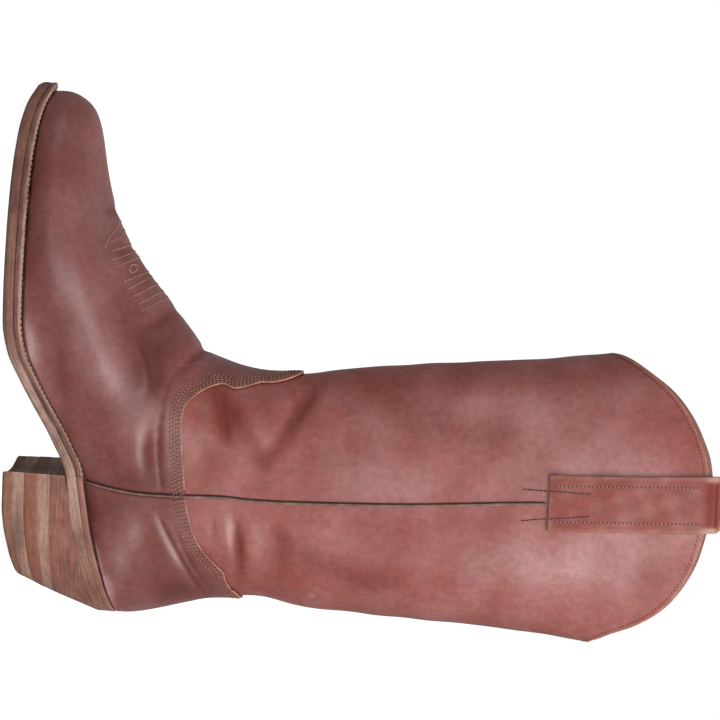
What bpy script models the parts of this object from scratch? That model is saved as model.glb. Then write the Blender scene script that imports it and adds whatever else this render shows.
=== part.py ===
"""A western boot: leather sole, stacked heel, hollow upper, overlays, side seams and pull straps.

The toe points along -Y, +X is the outer side of a left boot, and the boot stands on z = 0.
"""

import functools
import math

import bmesh
import bpy
import numpy as np

# Sole, in metres.
SOLE_LENGTH = 0.292
BALL_WIDTH = 0.100
SEAT_WIDTH = 0.064
TOE_SPRING = 0.009
BREAST_HEIGHT = 0.036
SEAT_RISE = 0.017
OUTSOLE_THICKNESS = 0.006
WELT_THICKNESS = 0.0038
WELT_WIDTH = 0.012
WELT_MARGIN = 0.0055
EDGE_ROUNDING = 0.0008
INSOLE_THICKNESS = 0.003
INSOLE_CLEARANCE = 0.0015

# Heel.
HEEL_BASE_LENGTH = 0.0615
HEEL_BASE_WIDTH = 0.056
BREAST_HOLLOW = 0.0035
HEEL_WEAR = 0.007
TOP_LIFT_THICKNESS = 0.0052
LIFT_THICKNESS = 0.0072
LIFT_COUNT = 3

# Upper.
WALL = 0.0022
OVERLAY = 0.0014
OVERLAY_FOOT_SLOPE = 0.6
INSTEP_HEIGHT = 0.143
ANKLE_HEIGHT = 0.146
FRONT_HEIGHT = 0.330
BACK_HEIGHT = 0.325
SIDE_HEIGHT = 0.390
SHAFT_DEPTH = 0.154
SHAFT_WIDTH = 0.086
SHAFT_SETBACK = 0.078
SHAFT_TWIST = math.radians(9)

# Trim.
PIPING_WIDTH = 0.0032
PIPING_HEIGHT = 0.0018
PIPING_TOP = 0.6
SEAM_SLOT = 0.0044
STRAP_WIDTH = 0.030
STRAP_LENGTH = 0.0885
STRAP_INNER_LENGTH = 0.060
STRAP_THICKNESS = 0.0022
STRAP_RISE = 0.0006
STRAP_FOLD_START = 0.004
STRAP_FOLD_END = 0.0015
STRAP_FOLD_ROUNDING = 0.7

GAP = 0.0003

# Mesh counts. Every ring has as many points, from the toe over the outer side, so that sole, welt,
# insole and upper meet point for point. The heel's breast stands at one of them.
TURNS = 40
LEVELS = 31
BREAST_STEP = 13
BREAST_POINTS = 7
OVERLAY_TOP_RING = 14
SEAM_ROWS = 24
EDGE_STEPS = 2
SEAM_EDGE_STEPS = 6
STRAP_POINTS = 7
STRAP_OUTER_ROWS = 8
STRAP_INNER_ROWS = 6

# Steps and passes of the numeric slopes and searches on the upper's surface.
SLOPE_STEP = 1e-3
SEARCH_STEP = 1e-4
SEARCH_PASSES = 12
FLAT_FOOT_LEVEL = 0.05

# The sole's outline: place along the sole from toe to heel, half width as shares of the ball's
# and of the heel seat's width, and the centre line's swing to the outer side as a share of the ball's.
OUTLINE_COLUMNS = ("along", "ball", "seat", "swing")
SOLE_OUTLINE = (
    (0.000, 0.000, 0.000, -0.055),
    (0.030, 0.160, 0.000, -0.050),
    (0.100, 0.285, 0.000, -0.040),
    (0.200, 0.405, 0.000, -0.020),
    (0.310, 0.483, 0.000, -0.004),
    (0.370, 0.500, 0.000, 0.000),
    (0.450, 0.478, 0.000, 0.008),
    (0.550, 0.280, 0.150, 0.022),
    (0.640, 0.130, 0.290, 0.026),
    (0.730, 0.000, 0.480, 0.016),
    (0.850, 0.000, 0.500, 0.004),
    (0.930, 0.000, 0.430, 0.000),
    (0.975, 0.000, 0.290, 0.000),
    (1.000, 0.000, 0.000, 0.000),
)

# The sole's line from the side: shares of the toe spring, the breast's height and the seat's rise.
LINE_COLUMNS = ("along", "toe", "breast", "seat")
SOLE_LINE = (
    (0.00, 1.00, 0.00, 0.00),
    (0.04, 0.45, 0.00, 0.00),
    (0.09, 0.16, 0.00, 0.00),
    (0.16, 0.03, 0.00, 0.00),
    (0.22, 0.00, 0.00, 0.00),
    (0.43, 0.00, 0.00, 0.00),
    (0.49, 0.00, 0.07, 0.00),
    (0.545, 0.00, 0.25, 0.00),
    (0.60, 0.00, 0.48, 0.00),
    (0.66, 0.00, 0.75, 0.00),
    (0.73, 0.00, 0.98, 0.00),
    (0.79, 0.00, 1.00, 0.12),
    (0.90, 0.00, 1.00, 0.53),
    (1.00, 0.00, 1.00, 1.00),
)
BREAST_ALONG = (1 - math.cos(2 * math.pi * BREAST_STEP / TURNS)) / 2

# How far along the sole a ring that lies inside the outline keeps clear of its ends.
END_REACH = 0.22

# How far the upper's lower edge lies inside the sole's outline, as a share of the welt's margin.
MARGIN_COLUMNS = ("along", "margin")
MARGIN = ((0.0, 1.15), (0.35, 0.95), (0.55, 0.45), (0.75, 0.30), (1.0, 0.30))

# Rings of the foot, from the sole up to the throat. front_out runs from the throat (0) to the toe (1),
# front_up from the sole to the instep, back_in from the seat to the ankle and back_up likewise.
# line is how much of the sole's curve a ring keeps, and swing how much of its centre line.
# The last five are half widths at five places from front to back, as shares of the ball's width.
FOOT_COLUMNS = (
    "front_out", "front_up", "back_in", "back_up", "line", "swing",
    "tip", "fore", "mid", "rear", "back",
)
FOOT_RINGS = (
    (1.000, 0.000, 0.000, 0.000, 1.00, 1.00, 0.000, 0.000, 0.000, 0.000, 0.000),
    (0.999, 0.079, 0.020, 0.033, 0.85, 1.00, 0.420, 0.513, 0.345, 0.408, 0.575),
    (0.972, 0.144, 0.045, 0.069, 0.70, 1.00, 0.395, 0.500, 0.355, 0.412, 0.570),
    (0.918, 0.189, 0.080, 0.111, 0.58, 1.00, 0.345, 0.475, 0.362, 0.415, 0.560),
    (0.803, 0.224, 0.145, 0.166, 0.45, 1.00, 0.285, 0.448, 0.366, 0.418, 0.550),
    (0.624, 0.271, 0.227, 0.226, 0.32, 0.90, 0.270, 0.430, 0.368, 0.420, 0.520),
    (0.448, 0.359, 0.364, 0.311, 0.20, 0.70, 0.275, 0.398, 0.370, 0.420, 0.485),
    (0.300, 0.486, 0.582, 0.420, 0.10, 0.45, 0.290, 0.375, 0.370, 0.413, 0.445),
    (0.126, 0.645, 0.855, 0.565, 0.03, 0.20, 0.300, 0.368, 0.368, 0.403, 0.400),
    (0.063, 0.710, 0.964, 0.661, 0.00, 0.08, 0.320, 0.366, 0.366, 0.395, 0.385),
    (0.035, 0.794, 1.020, 0.758, 0.00, 0.02, 0.335, 0.364, 0.363, 0.388, 0.373),
    (0.013, 0.873, 1.040, 0.855, 0.00, 0.00, 0.345, 0.362, 0.361, 0.383, 0.366),
)

# Rings of the shaft, from the ankle up to the collar: height as shares of the shaft's front and back,
# reach before and behind the shaft's centre as shares of its depth, half width as a share of its
# width, how much of the collar's scallop a ring has, and how much of the shaft's twist.
SHAFT_COLUMNS = ("front_up", "back_up", "front", "back", "width", "scallop", "twist")
SHAFT_RINGS = (
    (0.000, 0.000, 0.388, 0.423, 0.419, 0.00, 0.00),
    (0.107, 0.100, 0.393, 0.445, 0.424, 0.00, 0.08),
    (0.235, 0.229, 0.417, 0.456, 0.436, 0.00, 0.20),
    (0.380, 0.380, 0.439, 0.466, 0.453, 0.03, 0.38),
    (0.529, 0.536, 0.458, 0.473, 0.469, 0.14, 0.56),
    (0.674, 0.687, 0.473, 0.481, 0.483, 0.36, 0.72),
    (0.824, 0.855, 0.489, 0.495, 0.494, 0.68, 0.87),
    (1.000, 1.000, 0.522, 0.511, 0.500, 1.00, 1.00),
)

# Five places along a ring from its front to its back, for the widths above.
PLACES = (0.0, 0.30, 0.58, 0.82, 1.0)

# The collar's scallop: how much of the dip is left, from the front or the back (0) to the side (1).
SCALLOP_COLUMNS = ("round", "front", "back")
SCALLOP = (
    (0.00, 1.00, 1.00),
    (0.10, 0.90, 0.97),
    (0.17, 0.82, 0.90),
    (0.24, 0.73, 0.81),
    (0.34, 0.59, 0.59),
    (0.45, 0.42, 0.40),
    (0.54, 0.30, 0.28),
    (0.63, 0.20, 0.19),
    (0.72, 0.12, 0.12),
    (0.82, 0.05, 0.07),
    (1.00, 0.00, 0.00),
)

# The side seams: distance before the heel's back as a share of the shaft's setback, and how far the
# twist has carried the inner seam behind the outer one, by height from the sole (0) to the collar (1).
SEAM_COLUMNS = ("up", "before", "twisted")
SEAM = (
    (0.00, 1.000, 0.00),
    (0.06, 0.950, 0.00),
    (0.13, 0.935, 0.00),
    (0.22, 0.945, 0.00),
    (0.28, 0.930, 0.03),
    (0.48, 0.960, 0.33),
    (0.74, 1.040, 0.75),
    (1.00, 1.090, 1.00),
)

# The vamp's top edge from the side seam to the tongue's tip, and the counter's from the seam to the
# back: place from the shaft's front (0) to its back (1), height as a share of the instep's height.
EDGE_COLUMNS = ("from_front", "up")
VAMP_EDGE = (
    (0.600, 0.722),
    (0.500, 0.716),
    (0.349, 0.703),
    (0.213, 0.690),
    (0.155, 0.692),
    (0.116, 0.704),
    (0.072, 0.752),
    (0.043, 0.808),
    (0.045, 0.845),
    (0.059, 0.880),
    (0.048, 0.930),
    (0.032, 0.978),
    (0.010, 1.051),
    (-0.008, 1.130),
    (-0.060, 1.150),
)
COUNTER_EDGE = (
    (0.420, 0.716),
    (0.526, 0.717),
    (0.638, 0.742),
    (0.759, 0.790),
    (0.848, 0.862),
    (0.880, 0.872),
    (0.948, 0.895),
    (0.995, 0.931),
    (1.100, 0.965),
)

# The heel's worn back corner: how much of the wear there is, from the breast (0) to the back (1).
WEAR_COLUMNS = ("along", "worn")
WEAR = ((0.0, 0.0), (0.30, 0.0), (0.50, 0.18), (0.70, 0.50), (1.0, 1.0))

BROWN_EDGE = (0.160, 0.072, 0.050)
RED_BROWN = (0.262, 0.078, 0.070)
SHAFT_RED = (0.327, 0.082, 0.070)
STACK_TAN = (0.330, 0.150, 0.100)
STACK_RED = (0.300, 0.095, 0.055)
LINING_TAN = (0.480, 0.330, 0.220)


def column(rows, names, name):
    """One named column of a table as an array."""
    return np.array([row[names.index(name)] for row in rows], float)


def hermite(x, xs, ys, slopes):
    """The cubic through (xs, ys) that has these slopes, read at x."""
    x = np.clip(x, xs[0], xs[-1])
    i = np.clip(np.searchsorted(xs, x, side="right") - 1, 0, len(xs) - 2)
    width = xs[i + 1] - xs[i]
    t = (x - xs[i]) / width
    start = (1 + 2 * t) * (1 - t) ** 2 * ys[i] + t * (1 - t) ** 2 * width * slopes[i]
    end = t * t * (3 - 2 * t) * ys[i + 1] + t * t * (t - 1) * width * slopes[i + 1]
    return start + end


def monotone(x, xs, ys):
    """A curve through the points that never swings past them, so that a flat stays flat."""
    steps = np.diff(ys) / np.diff(xs)
    slopes = np.concatenate([[steps[0]], np.zeros(len(xs) - 2), [steps[-1]]])
    same = steps[:-1] * steps[1:] > 0
    means = 2 * steps[:-1][same] * steps[1:][same] / (steps[:-1][same] + steps[1:][same])
    slopes[1:-1][same] = means
    return hermite(x, xs, ys, slopes)


@functools.cache
def spline_bends(xs):
    """Second derivatives of the natural cubic spline through xs, for a unit step at each point."""
    count = len(xs)
    gaps = np.diff(xs)
    left = np.eye(count)
    right = np.zeros((count, count))
    for i in range(1, count - 1):
        left[i, i - 1 : i + 2] = gaps[i - 1], 2 * (gaps[i - 1] + gaps[i]), gaps[i]
        right[i, i - 1] += 6 / gaps[i - 1]
        right[i, i] -= 6 / gaps[i - 1] + 6 / gaps[i]
        right[i, i + 1] += 6 / gaps[i]
    return np.linalg.solve(left, right)


def spline_weights(x, xs):
    """Weights of the natural cubic spline through xs: one row for each x, one column for each point."""
    bends = spline_bends(xs)
    xs = np.array(xs)
    count = len(xs)
    gaps = np.diff(xs)
    x = np.clip(x, xs[0], xs[-1])
    i = np.clip(np.searchsorted(xs, x, side="right") - 1, 0, count - 2)
    gap = gaps[i]
    a = (xs[i + 1] - x) / gap
    b = 1 - a
    points = np.eye(count)
    bend_a = ((a**3 - a) * gap**2 / 6)[..., None]
    bend_b = ((b**3 - b) * gap**2 / 6)[..., None]
    return a[..., None] * points[i] + b[..., None] * points[i + 1] + bend_a * bends[i] + bend_b * bends[i + 1]


def y_at(along):
    """Y of a place along the sole, from the toe's tip (0) to the heel's back (1)."""
    return (along - 0.5) * SOLE_LENGTH


def along_at(y):
    return y / SOLE_LENGTH + 0.5


def sole_half_width(along):
    """Half width of the sole. Its square is smoothed, which rounds both ends."""
    xs = column(SOLE_OUTLINE, OUTLINE_COLUMNS, "along")
    ball = column(SOLE_OUTLINE, OUTLINE_COLUMNS, "ball") * BALL_WIDTH
    seat = column(SOLE_OUTLINE, OUTLINE_COLUMNS, "seat") * SEAT_WIDTH
    return np.sqrt(np.maximum(monotone(along, xs, (ball + seat) ** 2), 0))


def sole_centre(along):
    xs = column(SOLE_OUTLINE, OUTLINE_COLUMNS, "along")
    return monotone(along, xs, column(SOLE_OUTLINE, OUTLINE_COLUMNS, "swing")) * BALL_WIDTH


def sole_bottom(along):
    """Height of the outsole's lower face."""
    xs = column(SOLE_LINE, LINE_COLUMNS, "along")
    toe = monotone(along, xs, column(SOLE_LINE, LINE_COLUMNS, "toe")) * TOE_SPRING
    breast = monotone(along, xs, column(SOLE_LINE, LINE_COLUMNS, "breast")) * BREAST_HEIGHT
    seat = monotone(along, xs, column(SOLE_LINE, LINE_COLUMNS, "seat")) * SEAT_RISE
    return toe + breast + seat


def welt_bottom(along):
    return sole_bottom(along) + OUTSOLE_THICKNESS + GAP


def welt_top(along):
    return welt_bottom(along) + WELT_THICKNESS


def margin(along):
    """Distance from the sole's edge in to the upper's lower edge."""
    xs = column(MARGIN, MARGIN_COLUMNS, "along")
    return monotone(along, xs, column(MARGIN, MARGIN_COLUMNS, "margin")) * WELT_MARGIN


def inset_along(u, front, back):
    """Place along the sole of a ring that starts this far inside its toe and ends this far inside its
    heel. Between the ends it is u itself."""
    from_toe = np.maximum(0, 1 - u / END_REACH) ** 2 * front / SOLE_LENGTH
    from_heel = np.maximum(0, 1 - (1 - u) / END_REACH) ** 2 * back / SOLE_LENGTH
    return u + from_toe - from_heel


def edge_along(u):
    """Place along the sole of the upper's lower edge, whose own ends are u = 0 and 1."""
    return inset_along(u, margin(0.0), margin(1.0))


def edge_half_width(u):
    """Half width of the upper's lower edge."""
    return sole_half_width(u) * (1 - margin(u) / (BALL_WIDTH / 2))


def scallop(turn, side_from_ends):
    """Height of the collar above the straight line between its front and its back."""
    xs = column(SCALLOP, SCALLOP_COLUMNS, "round")
    ahead = np.cos(2 * math.pi * turn) > 0
    around = np.abs(np.arcsin(np.clip(np.sin(2 * math.pi * turn), -1, 1))) / (math.pi / 2)
    front = monotone(around, xs, column(SCALLOP, SCALLOP_COLUMNS, "front"))
    back = monotone(around, xs, column(SCALLOP, SCALLOP_COLUMNS, "back"))
    front_height = SIDE_HEIGHT - front * (SIDE_HEIGHT - FRONT_HEIGHT)
    back_height = SIDE_HEIGHT - back * (SIDE_HEIGHT - BACK_HEIGHT)
    return np.where(ahead, front_height, back_height) - side_from_ends


@functools.cache
def ring_table():
    """Each ring's front and back points, sole line, swing, scallop, twist and five half widths."""
    foot = {name: column(FOOT_RINGS, FOOT_COLUMNS, name) for name in FOOT_COLUMNS}
    shaft = {name: column(SHAFT_RINGS, SHAFT_COLUMNS, name) for name in SHAFT_COLUMNS}
    centre = y_at(1.0) - SHAFT_SETBACK
    shaft_front = centre - shaft["front"] * SHAFT_DEPTH
    shaft_back = centre + shaft["back"] * SHAFT_DEPTH
    toe_y = y_at(edge_along(0.0))
    seat_y = y_at(edge_along(1.0))
    toe_z = welt_top(edge_along(0.0)) + GAP
    seat_z = welt_top(edge_along(1.0)) + GAP
    front_y = shaft_front[0] + foot["front_out"] * (toe_y - shaft_front[0])
    back_y = seat_y + foot["back_in"] * (shaft_back[0] - seat_y)
    front_z = toe_z + foot["front_up"] * (INSTEP_HEIGHT - toe_z)
    back_z = seat_z + foot["back_up"] * (ANKLE_HEIGHT - seat_z)
    shaft_front_z = INSTEP_HEIGHT + shaft["front_up"] * (FRONT_HEIGHT - INSTEP_HEIGHT)
    shaft_back_z = ANKLE_HEIGHT + shaft["back_up"] * (BACK_HEIGHT - ANKLE_HEIGHT)
    none = np.zeros(len(SHAFT_RINGS))
    widths = [foot[name] * BALL_WIDTH for name in FOOT_COLUMNS[-5:]]
    return np.column_stack([
        np.concatenate([front_y, shaft_front]),
        np.concatenate([front_z, shaft_front_z]),
        np.concatenate([back_y, shaft_back]),
        np.concatenate([back_z, shaft_back_z]),
        np.concatenate([foot["line"], none]),
        np.concatenate([foot["swing"], none]),
        np.concatenate([np.zeros(len(FOOT_RINGS)), shaft["scallop"]]),
        np.concatenate([np.zeros(len(FOOT_RINGS)), shaft["twist"] * SHAFT_TWIST]),
        *[np.concatenate([width, shaft["width"] * SHAFT_WIDTH]) for width in widths],
    ])


def surface(level, turn):
    """Points of the upper's outer face. level runs from the sole (0) to the collar (1), and turn once
    round from the front over the outer side."""
    level, turn = np.broadcast_arrays(np.asarray(level, float), np.asarray(turn, float))
    table = ring_table()
    rings = tuple(range(len(table)))
    weights = spline_weights(level * rings[-1], rings)
    front_y, front_z, back_y, back_z, line, swing, rise, twist = np.moveaxis(weights @ table[:, :8], -1, 0)
    angle = 2 * math.pi * turn
    u = (1 - np.cos(angle)) / 2
    half = (spline_weights(u, PLACES) * (weights @ table[:, 8:])).sum(axis=-1)
    half = half * np.abs(np.sin(angle)) + weights[..., 0] * edge_half_width(u)
    y = front_y + u * (back_y - front_y)
    first = table[0]
    y = y + line * (y_at(edge_along(u)) - (first[0] + u * (first[2] - first[0])))
    sag = welt_top(edge_along(u)) + GAP - (first[1] + u * (first[3] - first[1]))
    chord = front_z + u * (back_z - front_z)
    collar_chord = FRONT_HEIGHT + u * (BACK_HEIGHT - FRONT_HEIGHT)
    z = chord + line * sag + rise * scallop(turn, collar_chord)
    x = np.sign(np.sin(angle)) * half + swing * sole_centre(along_at(y))
    centre = y_at(1.0) - SHAFT_SETBACK
    behind = y - centre
    turned_x = x * np.cos(twist) + behind * np.sin(twist)
    turned_y = centre + behind * np.cos(twist) - x * np.sin(twist)
    return np.stack([turned_x, turned_y, z], axis=-1)


def normals(level, turn):
    """Outward unit normals of the surface. At the sole they lie flat, so that the lower edge does too."""
    level, turn = np.broadcast_arrays(np.asarray(level, float), np.asarray(turn, float))
    above = np.minimum(level + SLOPE_STEP, 1)
    below = np.maximum(level - SLOPE_STEP, 0)
    up = surface(above, turn) - surface(below, turn)
    around = surface(level, turn + SLOPE_STEP) - surface(level, turn - SLOPE_STEP)
    found = np.cross(around, up)
    found[..., 2] *= np.clip(level / FLAT_FOOT_LEVEL, 0, 1)
    return found / np.linalg.norm(found, axis=-1, keepdims=True)


def shell_point(level, turn, out):
    """A point out from the upper's outer face, or in from it where out is negative."""
    return surface(level, turn) + normals(level, turn) * out


def find_level_turn(y, z, side):
    """The level and turn of the surface's point at this y and z, on the outer (1) or inner (-1) side."""
    level = 0.6
    turn = 0.5 - side * 0.25
    for _ in range(SEARCH_PASSES):
        near = surface([level, level + SEARCH_STEP, level], [turn, turn, turn + SEARCH_STEP])
        here = near[0]
        by_level = (near[1] - here) / SEARCH_STEP
        by_turn = (near[2] - here) / SEARCH_STEP
        jacobian = np.array([[by_level[1], by_turn[1]], [by_level[2], by_turn[2]]])
        move = np.linalg.solve(jacobian, [y - here[1], z - here[2]])
        level = float(np.clip(level + np.clip(move[0], -0.1, 0.1), 0.0, 0.999))
        turn += float(np.clip(move[1], -0.05, 0.05))
    return level, turn


def seam_y(z, side):
    """Y of the outer (1) or inner (-1) side seam at a height."""
    foot = welt_top(BREAST_ALONG)
    up = (z - foot) / (SIDE_HEIGHT - foot)
    heights = column(SEAM, SEAM_COLUMNS, "up")
    before = monotone(up, heights, column(SEAM, SEAM_COLUMNS, "before")) * SHAFT_SETBACK
    twisted = monotone(up, heights, column(SEAM, SEAM_COLUMNS, "twisted"))
    carried = twisted * SHAFT_WIDTH * math.sin(SHAFT_TWIST) if side < 0 else 0.0
    return float(y_at(1.0) - before + carried)


def faceted(level, turn, out):
    """A point on the flat faces of the upper's mesh, moved out along the normals of their corners."""
    row = np.clip(level, 0, 1) * (LEVELS - 1)
    low = int(min(math.floor(row), LEVELS - 2))
    cell = (turn % 1.0) * TURNS
    start = int(math.floor(cell))
    up = row - low
    along = cell - start
    levels = np.array([[low], [low + 1]]) / (LEVELS - 1)
    turns = np.array([[start, start + 1]]) / TURNS
    (near, far), (above, above_far) = shell_point(levels, turns, out)
    if along > up:
        return near + along * (far - near) + up * (above_far - far)
    return near + up * (above - near) + along * (above_far - above)


def material(name, colour, roughness):
    made = bpy.data.materials.new(name)
    made.use_nodes = True
    shader = made.node_tree.nodes["Principled BSDF"]
    shader.inputs["Base Color"].default_value = (*colour, 1)
    shader.inputs["Roughness"].default_value = roughness
    shader.inputs["Metallic"].default_value = 0.0
    return made


def add_object(name, bm, look):
    """Turns the mesh's faces outward, shades it smooth and adds it to the scene."""
    bmesh.ops.recalc_face_normals(bm, faces=bm.faces)
    mesh = bpy.data.meshes.new(name)
    bm.to_mesh(mesh)
    bm.free()
    mesh.materials.append(look)
    mesh.shade_smooth()
    mesh.set_sharp_from_angle(angle=math.radians(40))
    made = bpy.data.objects.new(name, mesh)
    bpy.context.scene.collection.objects.link(made)
    return made


def add_rings(bm, rings):
    """Quads between each ring of points and the next. It returns the rings' vertices."""
    made = [[bm.verts.new(point) for point in ring] for ring in rings]
    count = len(made[0])
    for low, high in zip(made, made[1:]):
        for i in range(count):
            j = (i + 1) % count
            bm.faces.new((low[i], low[j], high[j], high[i]))
    return made


def cap_ladder(bm, ring):
    """Closes a ring, whose first and middle points are its ends, with rungs from side to side."""
    count = len(ring)
    for i in range(count // 2):
        corners = [ring[i], ring[i + 1], ring[(count - i - 1) % count], ring[(count - i) % count]]
        kept = list(dict.fromkeys(corners))
        bm.faces.new(kept)


def cap_flat(bm, ring):
    """Closes a ring with one face."""
    bm.faces.new(ring)


def outline_ring(height, inset, steps=range(TURNS)):
    """Points round the sole's outline, drawn in by inset, at the height that the function gives."""
    angle = 2 * math.pi * np.array(steps) / TURNS
    u = (1 - np.cos(angle)) / 2
    along = inset_along(u, inset, inset)
    half = sole_half_width(u) * (1 - inset / (BALL_WIDTH / 2))
    x = np.sign(np.round(np.sin(angle), 9)) * half + sole_centre(along)
    return np.stack([x, y_at(along), height(along)], axis=-1)


def outsole():
    """One plate of even thickness that follows the sole's line, with its edges a little rounded."""
    bm = bmesh.new()
    levels = ((0.0, EDGE_ROUNDING), (0.15, 0.0), (0.9, 0.0), (1.0, EDGE_ROUNDING / 2))
    rings = []
    for share, inset in levels:
        rings.append(outline_ring(lambda a, s=share: sole_bottom(a) + s * OUTSOLE_THICKNESS, inset))
    made = add_rings(bm, rings)
    cap_ladder(bm, made[0])
    cap_ladder(bm, made[-1])
    return add_object("outsole", bm, material("outsole leather", BROWN_EDGE, 0.6))


def sole_strip(name, steps, shorter):
    """A strip on the outsole's margin, over these steps of the ring, with both ends cut shorter."""
    bm = bmesh.new()
    turn = np.array(steps) / TURNS
    under_wall = np.array([0, 0, GAP])
    section = [
        outline_ring(welt_bottom, WELT_WIDTH, steps),
        outline_ring(welt_bottom, EDGE_ROUNDING / 2, steps),
        outline_ring(lambda along: welt_bottom(along) + 0.8 * WELT_THICKNESS, 0.0, steps),
        outline_ring(welt_top, EDGE_ROUNDING, steps),
        shell_point(0.0, turn, 0.0) - under_wall,
        shell_point(0.0, turn, -WALL) - under_wall,
        outline_ring(welt_top, WELT_WIDTH, steps),
    ]
    cuts = np.stack(section, axis=1)
    cuts[[0, -1], :, 1] += shorter
    made = add_rings(bm, cuts)
    cap_flat(bm, made[0])
    cap_flat(bm, made[-1])
    return add_object(name, bm, material(name + " leather", RED_BROWN, 0.55))


def insole():
    """The footbed: it rests on the outsole inside the welt and widens above it to the upper's wall."""
    bm = bmesh.new()
    core = WELT_WIDTH + INSOLE_CLEARANCE
    turn = np.arange(TURNS) / TURNS
    inward = normals(0.0, turn) * 2 * GAP
    low_wall = shell_point(0.0, turn, -WALL)
    next_wall = shell_point(1 / (LEVELS - 1), turn, -WALL)
    share = np.clip(INSOLE_THICKNESS / (next_wall[:, 2:] - low_wall[:, 2:]), 0, 1)
    high_wall = low_wall + share * (next_wall - low_wall)
    inner_low = outline_ring(welt_bottom, core)
    inner_high = outline_ring(lambda along: welt_top(along) + GAP, core)
    made = add_rings(bm, [inner_low, inner_high, low_wall - inward, high_wall - inward])
    cap_ladder(bm, made[0])
    cap_ladder(bm, made[-1])
    return add_object("insole", bm, material("insole leather", LINING_TAN, 0.7))


def heel_ring(layer):
    """A ring round the heel at a layer's height above the floor, or under the outsole where that is
    None: the sole's outline behind the breast, drawn in towards the base, with the breast hollowed."""
    breast_y = y_at(BREAST_ALONG)
    sides = outline_ring(sole_bottom, 0.0, range(BREAST_STEP, TURNS - BREAST_STEP + 1))
    between = np.linspace(0, 1, BREAST_POINTS + 2)[1:-1, None]
    breast = sides[-1] + between * (sides[0] - sides[-1])
    breast[:, 1] += BREAST_HOLLOW * (1 - (2 * between[:, 0] - 1) ** 2)
    points = np.concatenate([sides, breast])
    drop = np.zeros(len(points)) if layer is None else 1 - layer / points[:, 2]
    length_share = 1 - drop * (1 - HEEL_BASE_LENGTH / (y_at(1.0) - breast_y))
    width_share = 1 - drop * (1 - HEEL_BASE_WIDTH / SEAT_WIDTH)
    x = points[:, 0] * width_share
    y = breast_y + (points[:, 1] - breast_y) * length_share
    z = outsole_underside(y) - GAP if layer is None else layer + worn_share(layer) * wear(y)
    return np.roll(np.stack([x, y, z], axis=-1), (BREAST_POINTS + 1) // 2, axis=0)


def outsole_underside(y):
    """Height of the outsole's flat lower faces, which run straight from step to step of the ring."""
    along = (1 - np.cos(2 * math.pi * np.arange(TURNS // 2 + 1) / TURNS)) / 2
    return np.interp(y, y_at(along), sole_bottom(along))


def worn_share(layer):
    """How much of the wear a layer follows: all on the floor and none at the top of the stack."""
    return 1 - layer / (TOP_LIFT_THICKNESS + (LIFT_COUNT + 1) * LIFT_THICKNESS)


def wear(y):
    """Height worn off the heel's back edge."""
    breast_y = y_at(BREAST_ALONG)
    along = (y - breast_y) / HEEL_BASE_LENGTH
    return monotone(along, column(WEAR, WEAR_COLUMNS, "along"), column(WEAR, WEAR_COLUMNS, "worn")) * HEEL_WEAR


def heel_piece(name, bottom, top, look):
    """One layer of the heel between two heights above the floor. None is the outsole's lower face."""
    bm = bmesh.new()
    made = add_rings(bm, [heel_ring(bottom), heel_ring(top)])
    cap_ladder(bm, made[0])
    cap_ladder(bm, made[-1])
    return add_object(name, bm, look)


def heel():
    """The stack: a top lift on the floor, even lifts above it, and a wedge up to the outsole."""
    look = material("heel lift leather", STACK_TAN, 0.6)
    red = material("heel lift leather, red", STACK_RED, 0.6)
    heel_piece("top_lift", 0.0, TOP_LIFT_THICKNESS, red)
    for i in range(LIFT_COUNT):
        bottom = TOP_LIFT_THICKNESS + i * LIFT_THICKNESS + GAP
        top = TOP_LIFT_THICKNESS + (i + 1) * LIFT_THICKNESS
        heel_piece(f"heel_lift_{i + 1}", bottom, top, red if i == 1 else look)
    heel_piece("heel_wedge", TOP_LIFT_THICKNESS + LIFT_COUNT * LIFT_THICKNESS + GAP, None, look)


def wall_mesh(inner, outer, top_level):
    """A closed band between two offsets of the upper's face, open in the middle at both ends."""
    bm = bmesh.new()
    rows = [i / (LEVELS - 1) for i in range(LEVELS) if i / (LEVELS - 1) <= top_level + 1e-6]
    turn = np.arange(TURNS) / TURNS
    skins = []
    for out in (outer, inner):
        grid = np.array([shell_point(level, turn, out) for level in rows])
        grid[0, :, 2] += OVERLAY_FOOT_SLOPE * max(out, 0)
        rings = [[bm.verts.new(point) for point in ring] for ring in grid]
        skins.append(rings)
        for low, high in zip(rings, rings[1:]):
            for i in range(TURNS):
                j = (i + 1) % TURNS
                bm.faces.new((low[i], low[j], high[j]))
                bm.faces.new((low[i], high[j], high[i]))
    for end in (0, -1):
        for i in range(TURNS):
            j = (i + 1) % TURNS
            bm.faces.new((skins[0][end][i], skins[0][end][j], skins[1][end][j], skins[1][end][i]))
    return bm


def upper():
    """Foot and shaft as one hollow wall."""
    bm = wall_mesh(-WALL, 0.0, 1.0)
    return add_object("upper", bm, material("shaft leather", SHAFT_RED, 0.45))


def side_prism(name, outline):
    """A cutter: an outline in Y and Z, carried right across the boot."""
    bm = bmesh.new()
    ends = [[bm.verts.new((x, y, z)) for y, z in outline] for x in (-BALL_WIDTH, BALL_WIDTH)]
    for i in range(len(outline)):
        j = (i + 1) % len(outline)
        bm.faces.new((ends[0][i], ends[0][j], ends[1][j], ends[1][i]))
    bm.faces.new(ends[0])
    bm.faces.new(ends[1])
    made = add_object(name, bm, material(name, (0.5, 0.5, 0.5), 0.5))
    made.hide_render = True
    made.display_type = "WIRE"
    return made


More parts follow.
